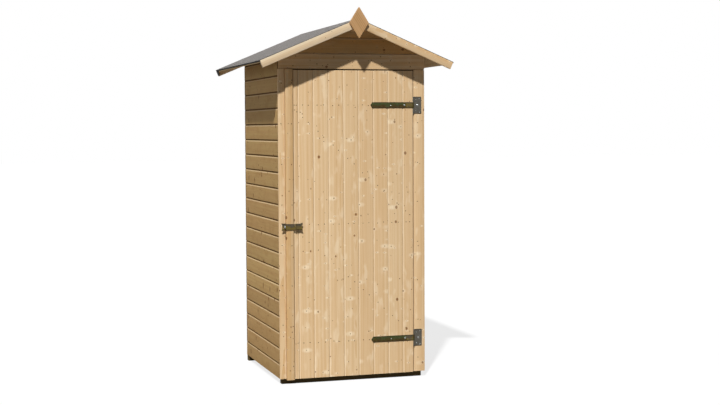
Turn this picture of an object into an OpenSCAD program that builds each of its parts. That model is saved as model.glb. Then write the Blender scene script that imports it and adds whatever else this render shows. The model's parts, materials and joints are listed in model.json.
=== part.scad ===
// A small garden tool shed: boarded walls on a light frame, a ledged and braced
// door, and a steep little felted roof that overhangs on every side.
// Millimetres. X runs to the right along the front, Y towards the back, Z up.
// The origin is under the middle bearer, in the middle of the floor plan.

/* [Shed] */
// Width across the outside of the side walls
shed_w = 1000; // [820:1:1300]
// Depth from the front boards to the back boards
shed_d = 1000; // [800:1:1400]
// Height of the doorway's head above the foot of the walls
head_z = 2014; // [1600:1:2400]
// Height of the gable boards over the head, at the side walls' faces
gable_side_h = 91; // [60:1:200]

/* [Boards and frame] */
// Thickness of the wall and door boards
board_t = 16; // [12:1:20]
// Thickness of the framing pieces, measured in from the boards
frame_t = 28; // [22:1:38]
// Width of the framing pieces, measured along the wall
frame_w = 45; // [35:1:60]

/* [Floor] */
// Height of the bearers that lie on the ground
bearer_h = 38; // [25:1:60]
// Width of a bearer, front to back
bearer_w = 45; // [35:1:70]
// How far the front bearer's ends stop short of the side walls' faces
bearer_inset = 18; // [5:1:40]
// How far the middle bearer's ends stop short of the side walls' faces
middle_bearer_inset = 80; // [30:1:150]
// How far the front bearer is set back behind the boards
bearer_setback = 14; // [5:1:60]
// How far the rear bearer is set in from the outer faces at its corners
rear_bearer_inset = 2; // [1:1:15]
// Thickness of the floor boards
floor_t = 16; // [12:1:22]

/* [Doorway] */
// Width of the corner board at the left of the front
corner_board_w = 43; // [30:1:60]
// Width of the strip that covers the left edge of the doorway
cover_strip_w = 52; // [40:1:80]
// How far the cover strip stands in front of the boards
cover_strip_proud = 12; // [4:1:20]
// How far the cover strip's bottom end hangs below the foot of the walls
cover_strip_hang = 8; // [0:1:20]
// Width of the fixed board that the hinge plates are screwed to
stile_w = 76; // [66:1:110]
// Running gap round the door
door_gap = 5.5; // [5.5:0.5:9]

/* [Door] */
// How far the door's bottom edge hangs below the foot of the walls
door_hang = 4; // [0:1:12]
// Width of the ledges across the back of the door
ledge_w = 80; // [60:1:110]
// Thickness of the ledges and braces
ledge_t = 20; // [16:1:28]
// How far the ledges stop short of the door's sides
ledge_inset = 16; // [12:1:60]
// Width of the two braces
brace_w = 60; // [45:1:80]

/* [Hinges] */
// Distance of the upper hinge below the doorway's head
upper_hinge_drop = 234; // [80:1:400]
// Height of the lower hinge above the foot of the walls
lower_hinge_z = 228; // [150:1:400]
// Length of a hinge strap from its pin to its point
strap_l = 298; // [200:1:400]
// Width of a hinge strap
strap_w = 39; // [30:1:46]
// Length of the strap's pointed end
strap_point = 13; // [6:1:30]
// Thickness of the hinge steel
steel_t = 2.5; // [2:0.5:3.5]
// Height of a hinge plate
plate_h = 112; // [90:1:140]
// Width of a hinge plate, from the pin to its outer edge
plate_w = 57; // [45:1:62]
// Outer radius of the hinge knuckles
knuckle_r = 4.5; // [4:0.1:6]
// Radius of the hinge pins
pin_r = 2.4; // [2:0.1:2.8]
// Clearance round a pin and between knuckles
knuckle_gap = 0.4; // [0.3:0.1:0.6]

/* [Latch] */
// Height of the latch above the foot of the walls
latch_z = 993; // [850:1:1150]
// Length of the hasp beyond the staple
hasp_tip = 21; // [12:1:40]
// Height of the hasp along its middle
hasp_h = 38; // [30:1:46]
// Height of the flared ends of the hasp and its bracket
flare_h = 50; // [44:1:60]
// Height of the hasp's slot
slot_h = 24; // [20:1:28]
// Length of the bracket on the door
bracket_l = 48; // [36:1:70]
// Gap between the hasp and the cover strip
hasp_gap = 4; // [4:0.5:8]
// How far the staple's eye stands out in front of the hasp
staple_out = 16; // [16:1:24]

/* [Roof] */
// Rise of the roof for each unit of run
roof_slope = 0.4206; // [0.3:0.0001:0.6]
// How far the roof reaches past the side walls
side_overhang = 150; // [60:1:300]
// How far the roof reaches in front of the front boards
front_overhang = 145; // [90:1:250]
// How far the roof reaches behind the back boards
rear_overhang = 280; // [90:1:350]
// Thickness of the roof boards
deck_t = 15; // [12:1:20]
// Thickness of the roofing felt
felt_t = 3; // [2:0.5:4]
// How far the felt is turned down over the eave, square to the slope
felt_hem = 6; // [4:1:30]
// Height of the ridge beam
ridge_h = 45; // [40:1:70]
// Width of the barge boards, square to the slope
barge_w = 48; // [40:1:80]
// Thickness of the barge boards
barge_t = 18; // [14:1:24]
// Height of the diamond-shaped finial
finial_h = 201; // [150:1:260]
// Width of the finial
finial_w = 128; // [90:1:170]
// Distance of the finial's middle below the ridge
finial_drop = 27; // [0:1:60]

/* [Hidden] */
$fn = 48;

timber = "#d9b98e";
dark_timber = "#be9766";
felt_grey = "#6f6c6b";
hinge_green = "#3b3f2b";
hinge_grey = "#4a4743";

half_w = shed_w / 2;
half_d = shed_d / 2;
inner_w = half_w - board_t;
inner_d = half_d - board_t;
front_y = -half_d;
// The walls stand on the bearers' level, so every height is counted from here.
foot_z = bearer_h;
floor_top = foot_z + floor_t;

// Roof
slope_a = atan(roof_slope);
deck_drop = deck_t / cos(slope_a);
ridge_z = head_z + gable_side_h + roof_slope * half_w + deck_drop;
roof_run = half_w + side_overhang;
function roof_top(x) = foot_z + ridge_z - roof_slope * abs(x);
function roof_under(x) = roof_top(x) - deck_drop;
// Fitting gap where a sloping face lies on another piece
seat_gap = 0.1;
function roof_seat(x) = roof_under(x) - seat_gap;
eave_z = roof_top(roof_run);
ridge_bottom = roof_seat(frame_w / 2) - ridge_h;
plate_bottom = roof_seat(inner_w) - frame_w;
roof_front = front_y - front_overhang;
roof_rear = half_d + rear_overhang;
deck_front = roof_front + barge_t;
deck_rear = roof_rear - barge_t;
finial_mid = foot_z + ridge_z - finial_drop;

// Doorway and door
door_left = -half_w + corner_board_w + cover_strip_w;
door_right = half_w - stile_w;
panel_left = door_left + door_gap;
panel_right = door_right - door_gap;
panel_bottom = foot_z - door_hang;
panel_top = foot_z + head_z - door_gap;
ledge_left = panel_left + ledge_inset;
ledge_right = panel_right - ledge_inset;
hinge_x = door_right - door_gap / 2;
upper_hinge_z = head_z - upper_hinge_drop;
middle_ledge_z = (upper_hinge_z + lower_hinge_z) / 2;
hinge_y = front_y - knuckle_r - 0.5;
knuckle_h = strap_w;
floor_front = -inner_d + door_gap;

// Latch
hasp_in = cover_strip_proud + hasp_gap;
// The pin stands just inside the door's edge, in front of the hasp's face.
latch_pin_inset = 5;
latch_pin_x = panel_left + latch_pin_inset;
latch_pin_r = 1.8;
latch_knuckle_r = 4;
latch_pin_y = front_y - hasp_in - steel_t - 2;
slot_l = 9;
slot_gap = 2;
staple_base_w = 18;
staple_base_h = 44;
staple_base_t = 2;
slot_x = -half_w + corner_board_w - staple_base_w / 2 - 0.5;
hasp_l = latch_pin_x - slot_x + hasp_tip;
eye_bar = slot_l - 2 * slot_gap;
eye_outer = slot_h - 2 * slot_gap;

// An upright slab between two opposite corners.
module block(low, high) {
    translate(low)
        cube(high - low);
}

// A shape drawn in X and Z, as thick as the distance between two depths.
module upright(y0, y1) {
    translate([0, y1, 0])
        rotate([90, 0, 0])
            linear_extrude(y1 - y0)
                children();
}

// A shape drawn in X and Z on the right and copied to the left.
module on_side(side) {
    mirror([side < 0 ? 1 : 0, 0, 0])
        children();
}

// ---- Floor ----

module bearer(y, inset) {
    color(dark_timber)
        block([-half_w + inset, y, 0], [half_w - inset, y + bearer_w, bearer_h]);
}

module front_bearer() {
    bearer(front_y + board_t + bearer_setback, bearer_inset);
}

module middle_bearer() {
    bearer(-bearer_w / 2, middle_bearer_inset);
}

module rear_bearer() {
    bearer(half_d - rear_bearer_inset - bearer_w, rear_bearer_inset);
}

module floor_boards() {
    color(timber)
        block([-inner_w, floor_front, foot_z], [inner_w, inner_d, floor_top]);
}

// ---- Walls ----

// A side wall's boards, with the top edge cut to the slope of the roof.
module side_wall(side) {
    color(timber)
        on_side(side)
            upright(-inner_d, inner_d)
                polygon([
                    [inner_w, foot_z],
                    [half_w, foot_z],
                    [half_w, roof_seat(half_w)],
                    [inner_w, roof_seat(inner_w)]
                ]);
}

// The boards of an end wall from a given height up to the roof, notched for the ridge beam.
module gable_boards(y0, y1, bottom) {
    color(timber)
        upright(y0, y1)
            difference() {
                polygon([
                    [-half_w, bottom],
                    [half_w, bottom],
                    [half_w, roof_seat(half_w)],
                    [0, roof_seat(0)],
                    [-half_w, roof_seat(half_w)]
                ]);
                translate([-frame_w / 2, ridge_bottom])
                    square([frame_w, ridge_h + frame_w]);
            }
}

module left_wall() {
    side_wall(-1);
}

module right_wall() {
    side_wall(1);
}

module rear_wall() {
    gable_boards(inner_d, half_d, foot_z);
}

module front_gable() {
    gable_boards(front_y, -inner_d, foot_z + head_z);
}

// ---- Frame ----

// A corner post inside the boards, standing on the floor. The signs say which corner.
module corner_post(side, end) {
    y_low = end < 0 ? -inner_d : inner_d - frame_t;
    color(timber)
        on_side(side)
            block([inner_w - frame_w, y_low, floor_top],
                  [inner_w, y_low + frame_t, roof_seat(inner_w)]);
}

module front_left_post() {
    corner_post(-1, -1);
}

module front_right_post() {
    corner_post(1, -1);
}

module rear_left_post() {
    corner_post(-1, 1);
}

module rear_right_post() {
    corner_post(1, 1);
}

// An upright in the middle of a side wall, under the top plate.
module side_stud(side) {
    color(timber)
        on_side(side)
            block([inner_w - frame_t, -frame_w / 2, floor_top],
                  [inner_w, frame_w / 2, plate_bottom]);
}

module left_stud() {
    side_stud(-1);
}

module right_stud() {
    side_stud(1);
}

module rear_stud() {
    color(timber)
        block([-frame_w / 2, inner_d - frame_t, floor_top],
              [frame_w / 2, inner_d, ridge_bottom]);
}

// The top plate that the roof boards rest on, between the corner posts.
module top_plate(side) {
    post_in = inner_d - frame_t;
    color(timber)
        on_side(side)
            block([inner_w - frame_t, -post_in, plate_bottom],
                  [inner_w, post_in, roof_seat(inner_w)]);
}

module left_top_plate() {
    top_plate(-1);
}

module right_top_plate() {
    top_plate(1);
}

// The rail over the doorway that stiffens the front gable.
module door_head() {
    post_in = inner_w - frame_w;
    color(timber)
        block([-post_in, -inner_d, foot_z + head_z],
              [post_in, -inner_d + frame_t, foot_z + head_z + frame_w]);
}

// ---- Front trim ----

module left_corner_board() {
    color(timber)
        block([-half_w, front_y, foot_z],
              [-half_w + corner_board_w, -inner_d, foot_z + head_z]);
}

module door_cover_strip() {
    color(timber)
        block([-half_w + corner_board_w, front_y - cover_strip_proud, foot_z - cover_strip_hang],
              [door_left, -inner_d, foot_z + head_z]);
}

module right_door_stile() {
    color(timber)
        block([door_right, front_y, foot_z], [half_w, -inner_d, foot_z + head_z]);
}

// ---- Roof ----

module ridge_beam() {
    color(timber)
        upright(deck_front, deck_rear)
            polygon([
                [-frame_w / 2, ridge_bottom],
                [frame_w / 2, ridge_bottom],
                [frame_w / 2, roof_seat(frame_w / 2)],
                [0, roof_seat(0)],
                [-frame_w / 2, roof_seat(frame_w / 2)]
            ]);
}

// One slope as a band that hangs a given distance below the roof's top, square to it.
// Its lower end is cut square to the slope, and its upper end meets the other slope.
module slope_band(depth) {
    polygon([
        [0, roof_top(0)],
        [roof_run, eave_z],
        [roof_run - depth * sin(slope_a), eave_z - depth * cos(slope_a)],
        [0, roof_top(0) - depth / cos(slope_a)]
    ]);
}

module roof_deck(side) {
    color(timber)
        on_side(side)
            upright(deck_front, deck_rear)
                slope_band(deck_t);
}

module left_roof_deck() {
    roof_deck(-1);
}

module right_roof_deck() {
    roof_deck(1);
}

// Felt lies on the boards and is turned down over the eave. Its outline is drawn
// from points measured from the eave: out along the slope and up square to it.
module felt(side) {
    function off(out, up) = [
        roof_run + out * cos(slope_a) + up * sin(slope_a),
        eave_z - out * sin(slope_a) + up * cos(slope_a)
    ];
    outer = seat_gap + felt_t;
    color(felt_grey)
        on_side(side)
            upright(roof_front, roof_rear)
                polygon([
                    [0, roof_top(0) + seat_gap / cos(slope_a)],
                    [0, roof_top(0) + outer / cos(slope_a)],
                    off(outer, outer),
                    off(outer, -felt_hem),
                    off(seat_gap, -felt_hem),
                    off(seat_gap, seat_gap)
                ]);
}

module left_felt() {
    felt(-1);
}

module right_felt() {
    felt(1);
}

module barge(side, y0) {
    color(timber)
        on_side(side)
            upright(y0, y0 + barge_t)
                slope_band(barge_w);
}

module front_left_barge() {
    barge(-1, roof_front);
}

module front_right_barge() {
    barge(1, roof_front);
}

module rear_left_barge() {
    barge(-1, deck_rear);
}

module rear_right_barge() {
    barge(1, deck_rear);
}

module finial() {
    color(dark_timber)
        upright(roof_front - barge_t, roof_front)
            polygon([
                [0, finial_mid + finial_h / 2],
                [finial_w / 2, finial_mid],
                [0, finial_mid - finial_h / 2],
                [-finial_w / 2, finial_mid]
            ]);
}

// ---- Door ----

module door_boards() {
    color(timber)
        block([panel_left, front_y, panel_bottom], [panel_right, -inner_d, panel_top]);
}

module ledge(z) {
    color(timber)
        block([ledge_left, -inner_d, foot_z + z - ledge_w / 2],
              [ledge_right, -inner_d + ledge_t, foot_z + z + ledge_w / 2]);
}

module door_top_ledge() {
    ledge(upper_hinge_z);
}

module door_middle_ledge() {
    ledge(middle_ledge_z);
}

module door_bottom_ledge() {
    ledge(lower_hinge_z);
}

// A brace rises from the hinge side of one ledge to the free side of the next.
module brace(low_z, high_z) {
    z0 = foot_z + low_z + ledge_w / 2;
    z1 = foot_z + high_z - ledge_w / 2;
    angle = atan((z1 - z0) / (ledge_right - ledge_left - brace_w));
    cut = brace_w / sin(angle);
    color(timber)
        upright(-inner_d, -inner_d + ledge_t)
            polygon([
                [ledge_right, z0],
                [ledge_right - cut, z0],
                [ledge_left, z1],
                [ledge_left + cut, z1]
            ]);
}

module door_upper_brace() {
    brace(middle_ledge_z, upper_hinge_z);
}

module door_lower_brace() {
    brace(lower_hinge_z, middle_ledge_z);
}

// ---- Hinges ----

// A length of knuckle or pin about the hinge line, centred on a height.
module barrel(r, z, h) {
    translate([hinge_x, hinge_y, z - h / 2])
        cylinder(r = r, h = h);
}

// The fixed leaf, screwed to the stile, with the pin and the two outer knuckles.
module hinge_plate(z) {
    outer_h = (plate_h - knuckle_h) / 2 - knuckle_gap;
    outer_z = (plate_h - outer_h) / 2;
    clear_x = hinge_x + knuckle_r + knuckle_gap;
    color(hinge_grey) {
        block([clear_x, front_y - steel_t, z - plate_h / 2],
              [hinge_x + plate_w, front_y, z + plate_h / 2]);
        for (side = [-1, 1]) {
            barrel(knuckle_r, z + side * outer_z, outer_h);
            translate([hinge_x, front_y - steel_t, z + side * outer_z - outer_h / 2])
                cube([clear_x - hinge_x, steel_t, outer_h]);
        }
        barrel(pin_r, z, plate_h);
    }
}

// The long leaf, screwed to the door, with the middle knuckle.
module hinge_strap(z) {
    clear_x = hinge_x - knuckle_r - knuckle_gap;
    tip_x = hinge_x - strap_l;
    color(hinge_green)
        difference() {
            union() {
                upright(front_y - steel_t, front_y)
                    polygon([
                        [hinge_x, z - knuckle_h / 2],
                        [hinge_x, z + knuckle_h / 2],
                        [tip_x + strap_point, z + strap_w / 2],
                        [tip_x, z],
                        [tip_x + strap_point, z - strap_w / 2]
                    ]);
                barrel(knuckle_r, z, knuckle_h);
            }
            barrel(pin_r + knuckle_gap, z, knuckle_h + 2);
        }
}

module upper_hinge_plate() {
    hinge_plate(foot_z + upper_hinge_z);
}

module lower_hinge_plate() {
    hinge_plate(foot_z + lower_hinge_z);
}

module upper_hinge_strap() {
    hinge_strap(foot_z + upper_hinge_z);
}

module lower_hinge_strap() {
    hinge_strap(foot_z + lower_hinge_z);
}

// ---- Latch ----

// A length of knuckle or pin about the hasp's hinge line.
module latch_barrel(r, z, h) {
    translate([latch_pin_x, latch_pin_y, z - h / 2])
        cylinder(r = r, h = h);
}

// The outline of a plate that widens from the pin to a hollowed end.
// The length is negative for a plate that runs to the left.
module flared_plate(length, flat) {
    way = sign(length);
    difference() {
        polygon([
            [0, -hasp_h / 2],
            [0, hasp_h / 2],
            [way * flat, hasp_h / 2],
            [length, flare_h / 2],
            [length, -flare_h / 2],
            [way * flat, -hasp_h / 2]
        ]);
        translate([length + way * flare_h * 0.85, 0])
            circle(r = flare_h * 0.95);
    }
}

module latch_bracket() {
    z = foot_z + latch_z;
    plate_x = latch_pin_x + latch_knuckle_r + knuckle_gap;
    plate_y = front_y - hasp_in - steel_t;
    outer_h = hasp_h / 3 - knuckle_gap;
    color(hinge_green) {
        translate([latch_pin_x, 0, z])
            upright(plate_y, plate_y + steel_t)
                difference() {
                    flared_plate(bracket_l, bracket_l / 2);
                    translate([-1, -hasp_h / 2 - 1])
                        square([plate_x - latch_pin_x + 1, hasp_h + 2]);
                }
        // Two flanges carry the plate at the level of the hasp.
        for (side = [-1, 1])
            translate([plate_x, plate_y, z + side * (hasp_h - steel_t) / 2 - steel_t / 2])
                cube([bracket_l / 2, hasp_in + steel_t, steel_t]);
        for (side = [-1, 1]) {
            latch_barrel(latch_knuckle_r, z + side * hasp_h / 3, outer_h);
            translate([latch_pin_x, plate_y, z + side * hasp_h / 3 - outer_h / 2])
                cube([plate_x - latch_pin_x, steel_t, outer_h]);
        }
        latch_barrel(latch_pin_r, z, hasp_h);
    }
}

module latch_hasp() {
    z = foot_z + latch_z;
    plate_y = front_y - hasp_in - steel_t;
    middle_h = hasp_h / 3 - knuckle_gap;
    clear = latch_knuckle_r + knuckle_gap;
    color(hinge_green)
        difference() {
            union() {
                translate([latch_pin_x, 0, z])
                    upright(plate_y, plate_y + steel_t)
                        difference() {
                            flared_plate(-hasp_l, hasp_l * 0.6);
                            translate([-clear, -hasp_h / 2 - 1])
                                square([clear + 1, hasp_h + 2]);
                        }
                translate([latch_pin_x - clear - 1, plate_y, z - middle_h / 2])
                    cube([clear + 1, steel_t, middle_h]);
                latch_barrel(latch_knuckle_r, z, middle_h);
            }
            latch_barrel(latch_pin_r + knuckle_gap, z, hasp_h);
            translate([slot_x - slot_l / 2, plate_y - 1, z - slot_h / 2])
                cube([slot_l, steel_t + 2, slot_h]);
        }
}

// The staple: a base plate on the corner board with an eye that stands through the hasp.
module latch_staple() {
    z = foot_z + latch_z;
    eye_y = front_y - hasp_in - steel_t - staple_out;
    color(hinge_grey) {
        block([slot_x - staple_base_w / 2, front_y - staple_base_t, z - staple_base_h / 2],
              [slot_x + staple_base_w / 2, front_y, z + staple_base_h / 2]);
        difference() {
            union() {
                block([slot_x - eye_bar / 2, eye_y + eye_outer / 2, z - eye_outer / 2],
                      [slot_x + eye_bar / 2, front_y - 1, z + eye_outer / 2]);
                translate([slot_x - eye_bar / 2, eye_y + eye_outer / 2, z])
                    rotate([0, 90, 0])
                        cylinder(d = eye_outer, h = eye_bar);
            }
            translate([slot_x - eye_bar, eye_y + eye_outer / 2, z])
                rotate([0, 90, 0])
                    cylinder(d = eye_outer - 2 * eye_bar, h = 2 * eye_bar);
        }
    }
}

front_bearer();
middle_bearer();
rear_bearer();
floor_boards();
left_wall();
right_wall();
rear_wall();
front_gable();
front_left_post();
front_right_post();
rear_left_post();
rear_right_post();
left_stud();
right_stud();
rear_stud();
left_top_plate();
right_top_plate();
door_head();
left_corner_board();
door_cover_strip();
right_door_stile();
ridge_beam();
left_roof_deck();
right_roof_deck();
left_felt();
right_felt();
front_left_barge();
front_right_barge();
rear_left_barge();
rear_right_barge();
finial();
upper_hinge_plate();
lower_hinge_plate();
latch_staple();
door_boards();
door_top_ledge();
door_middle_ledge();
door_bottom_ledge();
door_upper_brace();
door_lower_brace();
upper_hinge_strap();
lower_hinge_strap();
latch_bracket();
latch_hasp();
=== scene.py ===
"""Tool shed: builds the boards, roof, ironmongery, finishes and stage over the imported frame."""

import json
import math
import random
from functools import partial
from itertools import accumulate

import bmesh
import bpy
from mathutils import Matrix, Vector, noise


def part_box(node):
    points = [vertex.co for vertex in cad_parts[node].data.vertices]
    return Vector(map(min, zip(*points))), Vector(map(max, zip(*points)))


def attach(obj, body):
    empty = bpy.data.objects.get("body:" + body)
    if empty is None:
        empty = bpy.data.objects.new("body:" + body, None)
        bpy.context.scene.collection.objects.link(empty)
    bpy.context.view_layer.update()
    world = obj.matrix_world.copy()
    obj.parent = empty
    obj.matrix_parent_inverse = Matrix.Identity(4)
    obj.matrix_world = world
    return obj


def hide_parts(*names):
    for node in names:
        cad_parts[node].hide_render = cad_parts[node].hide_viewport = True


bl_info = {
    "name": "Tool Shed",
    "version": (1, 0, 0),
    "blender": (4, 5, 0),
    "location": "View3D > Sidebar > Tool Shed",
    "description": "Builds a small boarded tool shed with a ledged door and a felted roof",
    "category": "Add Mesh",
}

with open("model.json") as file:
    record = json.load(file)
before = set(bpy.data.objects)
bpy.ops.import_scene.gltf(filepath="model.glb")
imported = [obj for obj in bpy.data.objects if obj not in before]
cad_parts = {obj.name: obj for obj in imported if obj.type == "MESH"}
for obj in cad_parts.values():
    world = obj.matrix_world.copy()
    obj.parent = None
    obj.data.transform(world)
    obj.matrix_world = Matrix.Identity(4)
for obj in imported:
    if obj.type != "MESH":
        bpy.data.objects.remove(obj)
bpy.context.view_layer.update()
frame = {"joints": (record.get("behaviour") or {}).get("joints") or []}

X, Y, Z = Vector((1, 0, 0)), Vector((0, 1, 0)), Vector((0, 0, 1))


def linear(code):
    """Turns an sRGB hex code into the linear colour that the shaders take."""
    parts = [int(code[i : i + 2], 16) / 255 for i in (1, 3, 5)]
    return [p / 12.92 if p <= 0.04045 else ((p + 0.055) / 1.055) ** 2.4 for p in parts]


def size(name, description, default):
    """A length that a user can change, in metres."""
    kind = {"min": 0, "subtype": "DISTANCE", "unit": "LENGTH"}
    return bpy.props.FloatProperty(name=name, description=description, default=default, **kind)


def tint(name, description, code):
    """A colour that a user can change, given as an sRGB hex code."""
    kind = {"default": linear(code), "min": 0, "max": 1, "subtype": "COLOR"}
    return bpy.props.FloatVectorProperty(name=name, description=description, **kind)


def power(name, description, default):
    """A light's strength that a user can change."""
    return bpy.props.FloatProperty(name=name, description=description, default=default, min=0)


def heading(name, description, default):
    """The direction of a light, which a user can change."""
    kind = {"default": default, "subtype": "DIRECTION"}
    return bpy.props.FloatVectorProperty(name=name, description=description, **kind)


class ShedBoardSizes(bpy.types.PropertyGroup):
    """Sections of the boards and squared timbers."""

    wall_cover: size("Wall cover", "Height that one wall board covers", 0.104)
    wall_first: size("First wall joint", "Height of the lowest joint above the walls' foot", 0.097)
    ramp: size("Ramp", "Width of the sloping rebate along one edge of each board's face", 0.011)
    ramp_depth: size("Ramp depth", "Depth of that rebate at the joint", 0.0055)
    wall_gap: size("Wall gap", "Open gap at the face of each wall joint", 0.0042)
    door_gap: size("Door joint gap", "Open gap at the face of each door joint", 0.0008)
    gable_cover: size("Gable cover", "Height that one front gable board covers", 0.1025)
    door_first: size("Narrow door board", "Width of the door board at the latch side", 0.0295)
    door_last: size("Last door board", "Width of the door board at the hinge side", 0.0735)
    door_between: bpy.props.IntProperty(
        name="Full door boards", description="Boards between the two ripped ones", default=7, min=1
    )
    head_lift: size("Head lift", "Gap under the board over the door", 0.0015)
    door_drop: size("Door drop", "How far the door's boards are cut short at the top", 0.0015)
    strip_gap: size("Strip gap", "Gap between corner board and cover strip", 0.0018)
    door_ramp: size("Door ramp", "Width of the sloping rebate on the door's boards", 0.009)
    deck_cover: size("Roof board cover", "Width that one roof board covers", 0.117)
    floor_cover: size("Floor board cover", "Width that one floor board covers", 0.1075)
    inner_vee: size("Inner vee", "Bevel on the joints of roof and floor boards", 0.0025)
    tongue: size("Tongue", "Length of each tongue", 0.007)
    arris: size("Arris", "Radius of the eased edges of squared timbers", 0.0015)
    brace_width: size("Brace width", "Width of the door's braces", 0.060)


class ShedRoofSizes(bpy.types.PropertyGroup):
    """Felt and its nails."""

    felt: size("Felt", "Thickness of the felt", 0.0022)
    felt_lift: size("Felt lift", "Greatest height of the felt's waves over the boards", 0.0008)
    fold: size("Fold", "Depth of the felt's folded corner at the rear, below its hem", 0.036)
    hem_rag: size("Hem rag", "How much the hem's cut edge wanders in depth", 0.003)
    clout_spacing: size("Clout spacing", "Distance between felt nails", 0.095)
    clout_head: size("Clout head", "Radius of a felt nail's head", 0.0045)


class ShedIronSizes(bpy.types.PropertyGroup):
    """Hinges, latch, screws and nails."""

    steel: size("Steel", "Thickness of the pressed steel", 0.0025)
    edge: size("Steel edge", "Rounding of the pressed steel's edges", 0.0005)
    hinge_pin: size("Hinge pin", "Radius of the hinges' pins", 0.0024)
    latch_pin: size("Latch pin", "Radius of the latch's pin", 0.0018)
    play: size("Play", "Clearance about the pins and between knuckles and plates", 0.0004)
    leaf_length: size("Doubled leaf", "Length of strap folded back at the knuckle", 0.0505)
    leaf_drop: size("Leaf drop", "How far the folded leaf stops short of the strap's edges", 0.004)
    screw_head: size("Screw head", "Radius of a screw's head", 0.0056)
    nail_head: size("Nail head", "Radius of a board nail's head", 0.003)


class ShedColours(bpy.types.PropertyGroup):
    """Colours of the finishes."""

    spruce: tint("Spruce", "Early wood of the planed boards", "#E1C59D")
    spruce_pink: tint("Pink spruce", "The boards' warmer heartwood", "#DEBD92")
    # The wall boards' colours are darker than the front's as painted shade of the light that
    # grazes the walls
    spruce_side: tint("Side spruce", "Early wood of the wall boards", "#C0A26A")
    spruce_warm: tint("Warm side spruce", "Heartwood of the wall boards", "#BA9563")
    spruce_pale: tint("Pale spruce", "Sapwood of the palest boards", "#E8D8BC")
    spruce_honey: tint("Honey spruce", "Boards that have turned darker in the sun", "#CD9E5C")
    latewood: tint("Late wood", "Dark half of each growth ring", "#C4965C")
    knot: tint("Knot", "Knots in the boards", "#7A4719")
    # Painted shade, with dust, in the joints between boards
    joint: tint("Joint", "Dust in the joints between boards", "#5C3C0C")
    batten: tint("Batten", "Framing timber", "#D8B787")
    # Paler than sawn spruce, as painted bounce light on the eaves' underside
    rough: tint("Roof board", "Roof and floor boards", "#E0C79C")
    pine: tint("Pine", "The finial", "#C79D70")
    treated: tint("Treated timber", "Pressure treated bearers", "#6B5A3A")
    felt: tint("Felt", "Mineral grit on the roofing felt", "#75716E")
    bitumen: tint("Bitumen", "Cut edges and back of the felt", "#17130E")
    # Each coat's upper and lower colours lean by height as a painted reflection of the sky and the
    # ground, over a mottle
    strap_green: tint("Strap green", "Coating of the straps and latch", "#3B421E")
    strap_olive: tint("Strap olive", "The same coating where it ran brown", "#412F04")
    # Painted shade along the top and bottom edges of the plates
    strap_edge: tint("Strap edge", "The same coating where it is thin", "#35260C")
    plate_grey: tint("Plate grey", "Coating of the hinge plates", "#57534A")
    latch_grey: tint("Latch grey", "Upper half of the latch's coating", "#4E4636")
    latch_olive: tint("Latch olive", "Lower half of the latch's coating", "#6D5C20")
    zinc: tint("Zinc", "Plated screws", "#C9CCCB")
    clout: tint("Clout", "Heads of the felt nails", "#6B6966")
    nail: tint("Nail", "Heads of the board nails", "#5C3F1E")


class ShedStageSettings(bpy.types.PropertyGroup):
    """Camera and light."""

    lens: bpy.props.FloatProperty(
        name="Lens",
        description="Focal length on a 36 mm sensor",
        default=66,
        subtype="DISTANCE_CAMERA",
    )
    eye: bpy.props.FloatVectorProperty(
        name="Camera place",
        description="Where the camera stands",
        default=(-2.529, -8.783, 1.661),
        subtype="TRANSLATION",
        unit="LENGTH",
    )
    look: bpy.props.FloatVectorProperty(
        name="Camera turn",
        description="Tilt, roll and heading of the camera",
        default=[math.radians(a) for a in (87.046, 0.31, -16.69)],
        subtype="EULER",
        unit="ROTATION",
    )
    shift: bpy.props.FloatVectorProperty(
        name="Camera shift", description="Shift of the picture", default=(0.0197, -0.0072), size=2
    )
    sun: power("Key light", "Strength of the key light", 4.1)
    sun_way: heading("Key direction", "The way that the key light shines", (0.9, 1.78, -2.34))
    sun_spread: bpy.props.FloatProperty(
        name="Key spread",
        description="Softness of the key light's shadows",
        default=math.radians(2),
        subtype="ANGLE",
    )
    side: power("Side light", "Strength of the side light", 0.55)
    side_way: heading("Side direction", "The way that the side light shines", (1, -0.05, -0.35))
    rear: power("Rear light", "Strength of the rear light", 1.3)
    rear_way: heading("Rear direction", "The way that the rear light shines", (-0.6, -1, -0.22))
    fill: power("Fill", "Strength of the light all round", 0.015)
    gleam: power("Gleam", "Strength of the studio as glossy surfaces mirror it", 0.35)

# ---- Mesh helpers ----


def begin(name):
    """An empty mesh with the layers that the timber finishes read, and its own seeded dice."""
    bm = bmesh.new()
    bm.verts.layers.float_vector.new("grain")
    bm.verts.layers.float_vector.new("board")
    bm.verts.layers.float.new("ramp")
    return bm, random.Random(name)


def close(name, bm, finishes, body, replaces=(), sharp=32):
    """Turns a finished mesh into a piece that rides on its body. `finishes` names its finishes,
    with spaces between. Edges that turn by more than `sharp` degrees aren't smoothed."""
    bmesh.ops.recalc_face_normals(bm, faces=bm.faces)
    mesh = bpy.data.meshes.new(name)
    bm.to_mesh(mesh)
    bm.free()
    for key in finishes.split():
        mesh.materials.append(finish(key))
    mesh.shade_smooth()
    mesh.set_sharp_from_angle(angle=math.radians(sharp))
    piece = bpy.data.objects.new(name, mesh)
    bpy.context.scene.collection.objects.link(piece)
    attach(piece, body)
    if replaces:
        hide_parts(*replaces)


def squared(wide, thick, arris):
    """Section of a squared timber with eased edges, as (across, inward) points."""
    left, right, near, far = arris, wide - arris, arris, thick - arris
    points = []
    for turn, (u, v) in enumerate(((right, near), (right, far), (left, far), (left, near))):
        for step in range(3):
            a = math.radians(90 * turn - 90 + 45 * step)
            points.append((u + arris * math.cos(a), v + arris * math.sin(a)))
    return points


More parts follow.
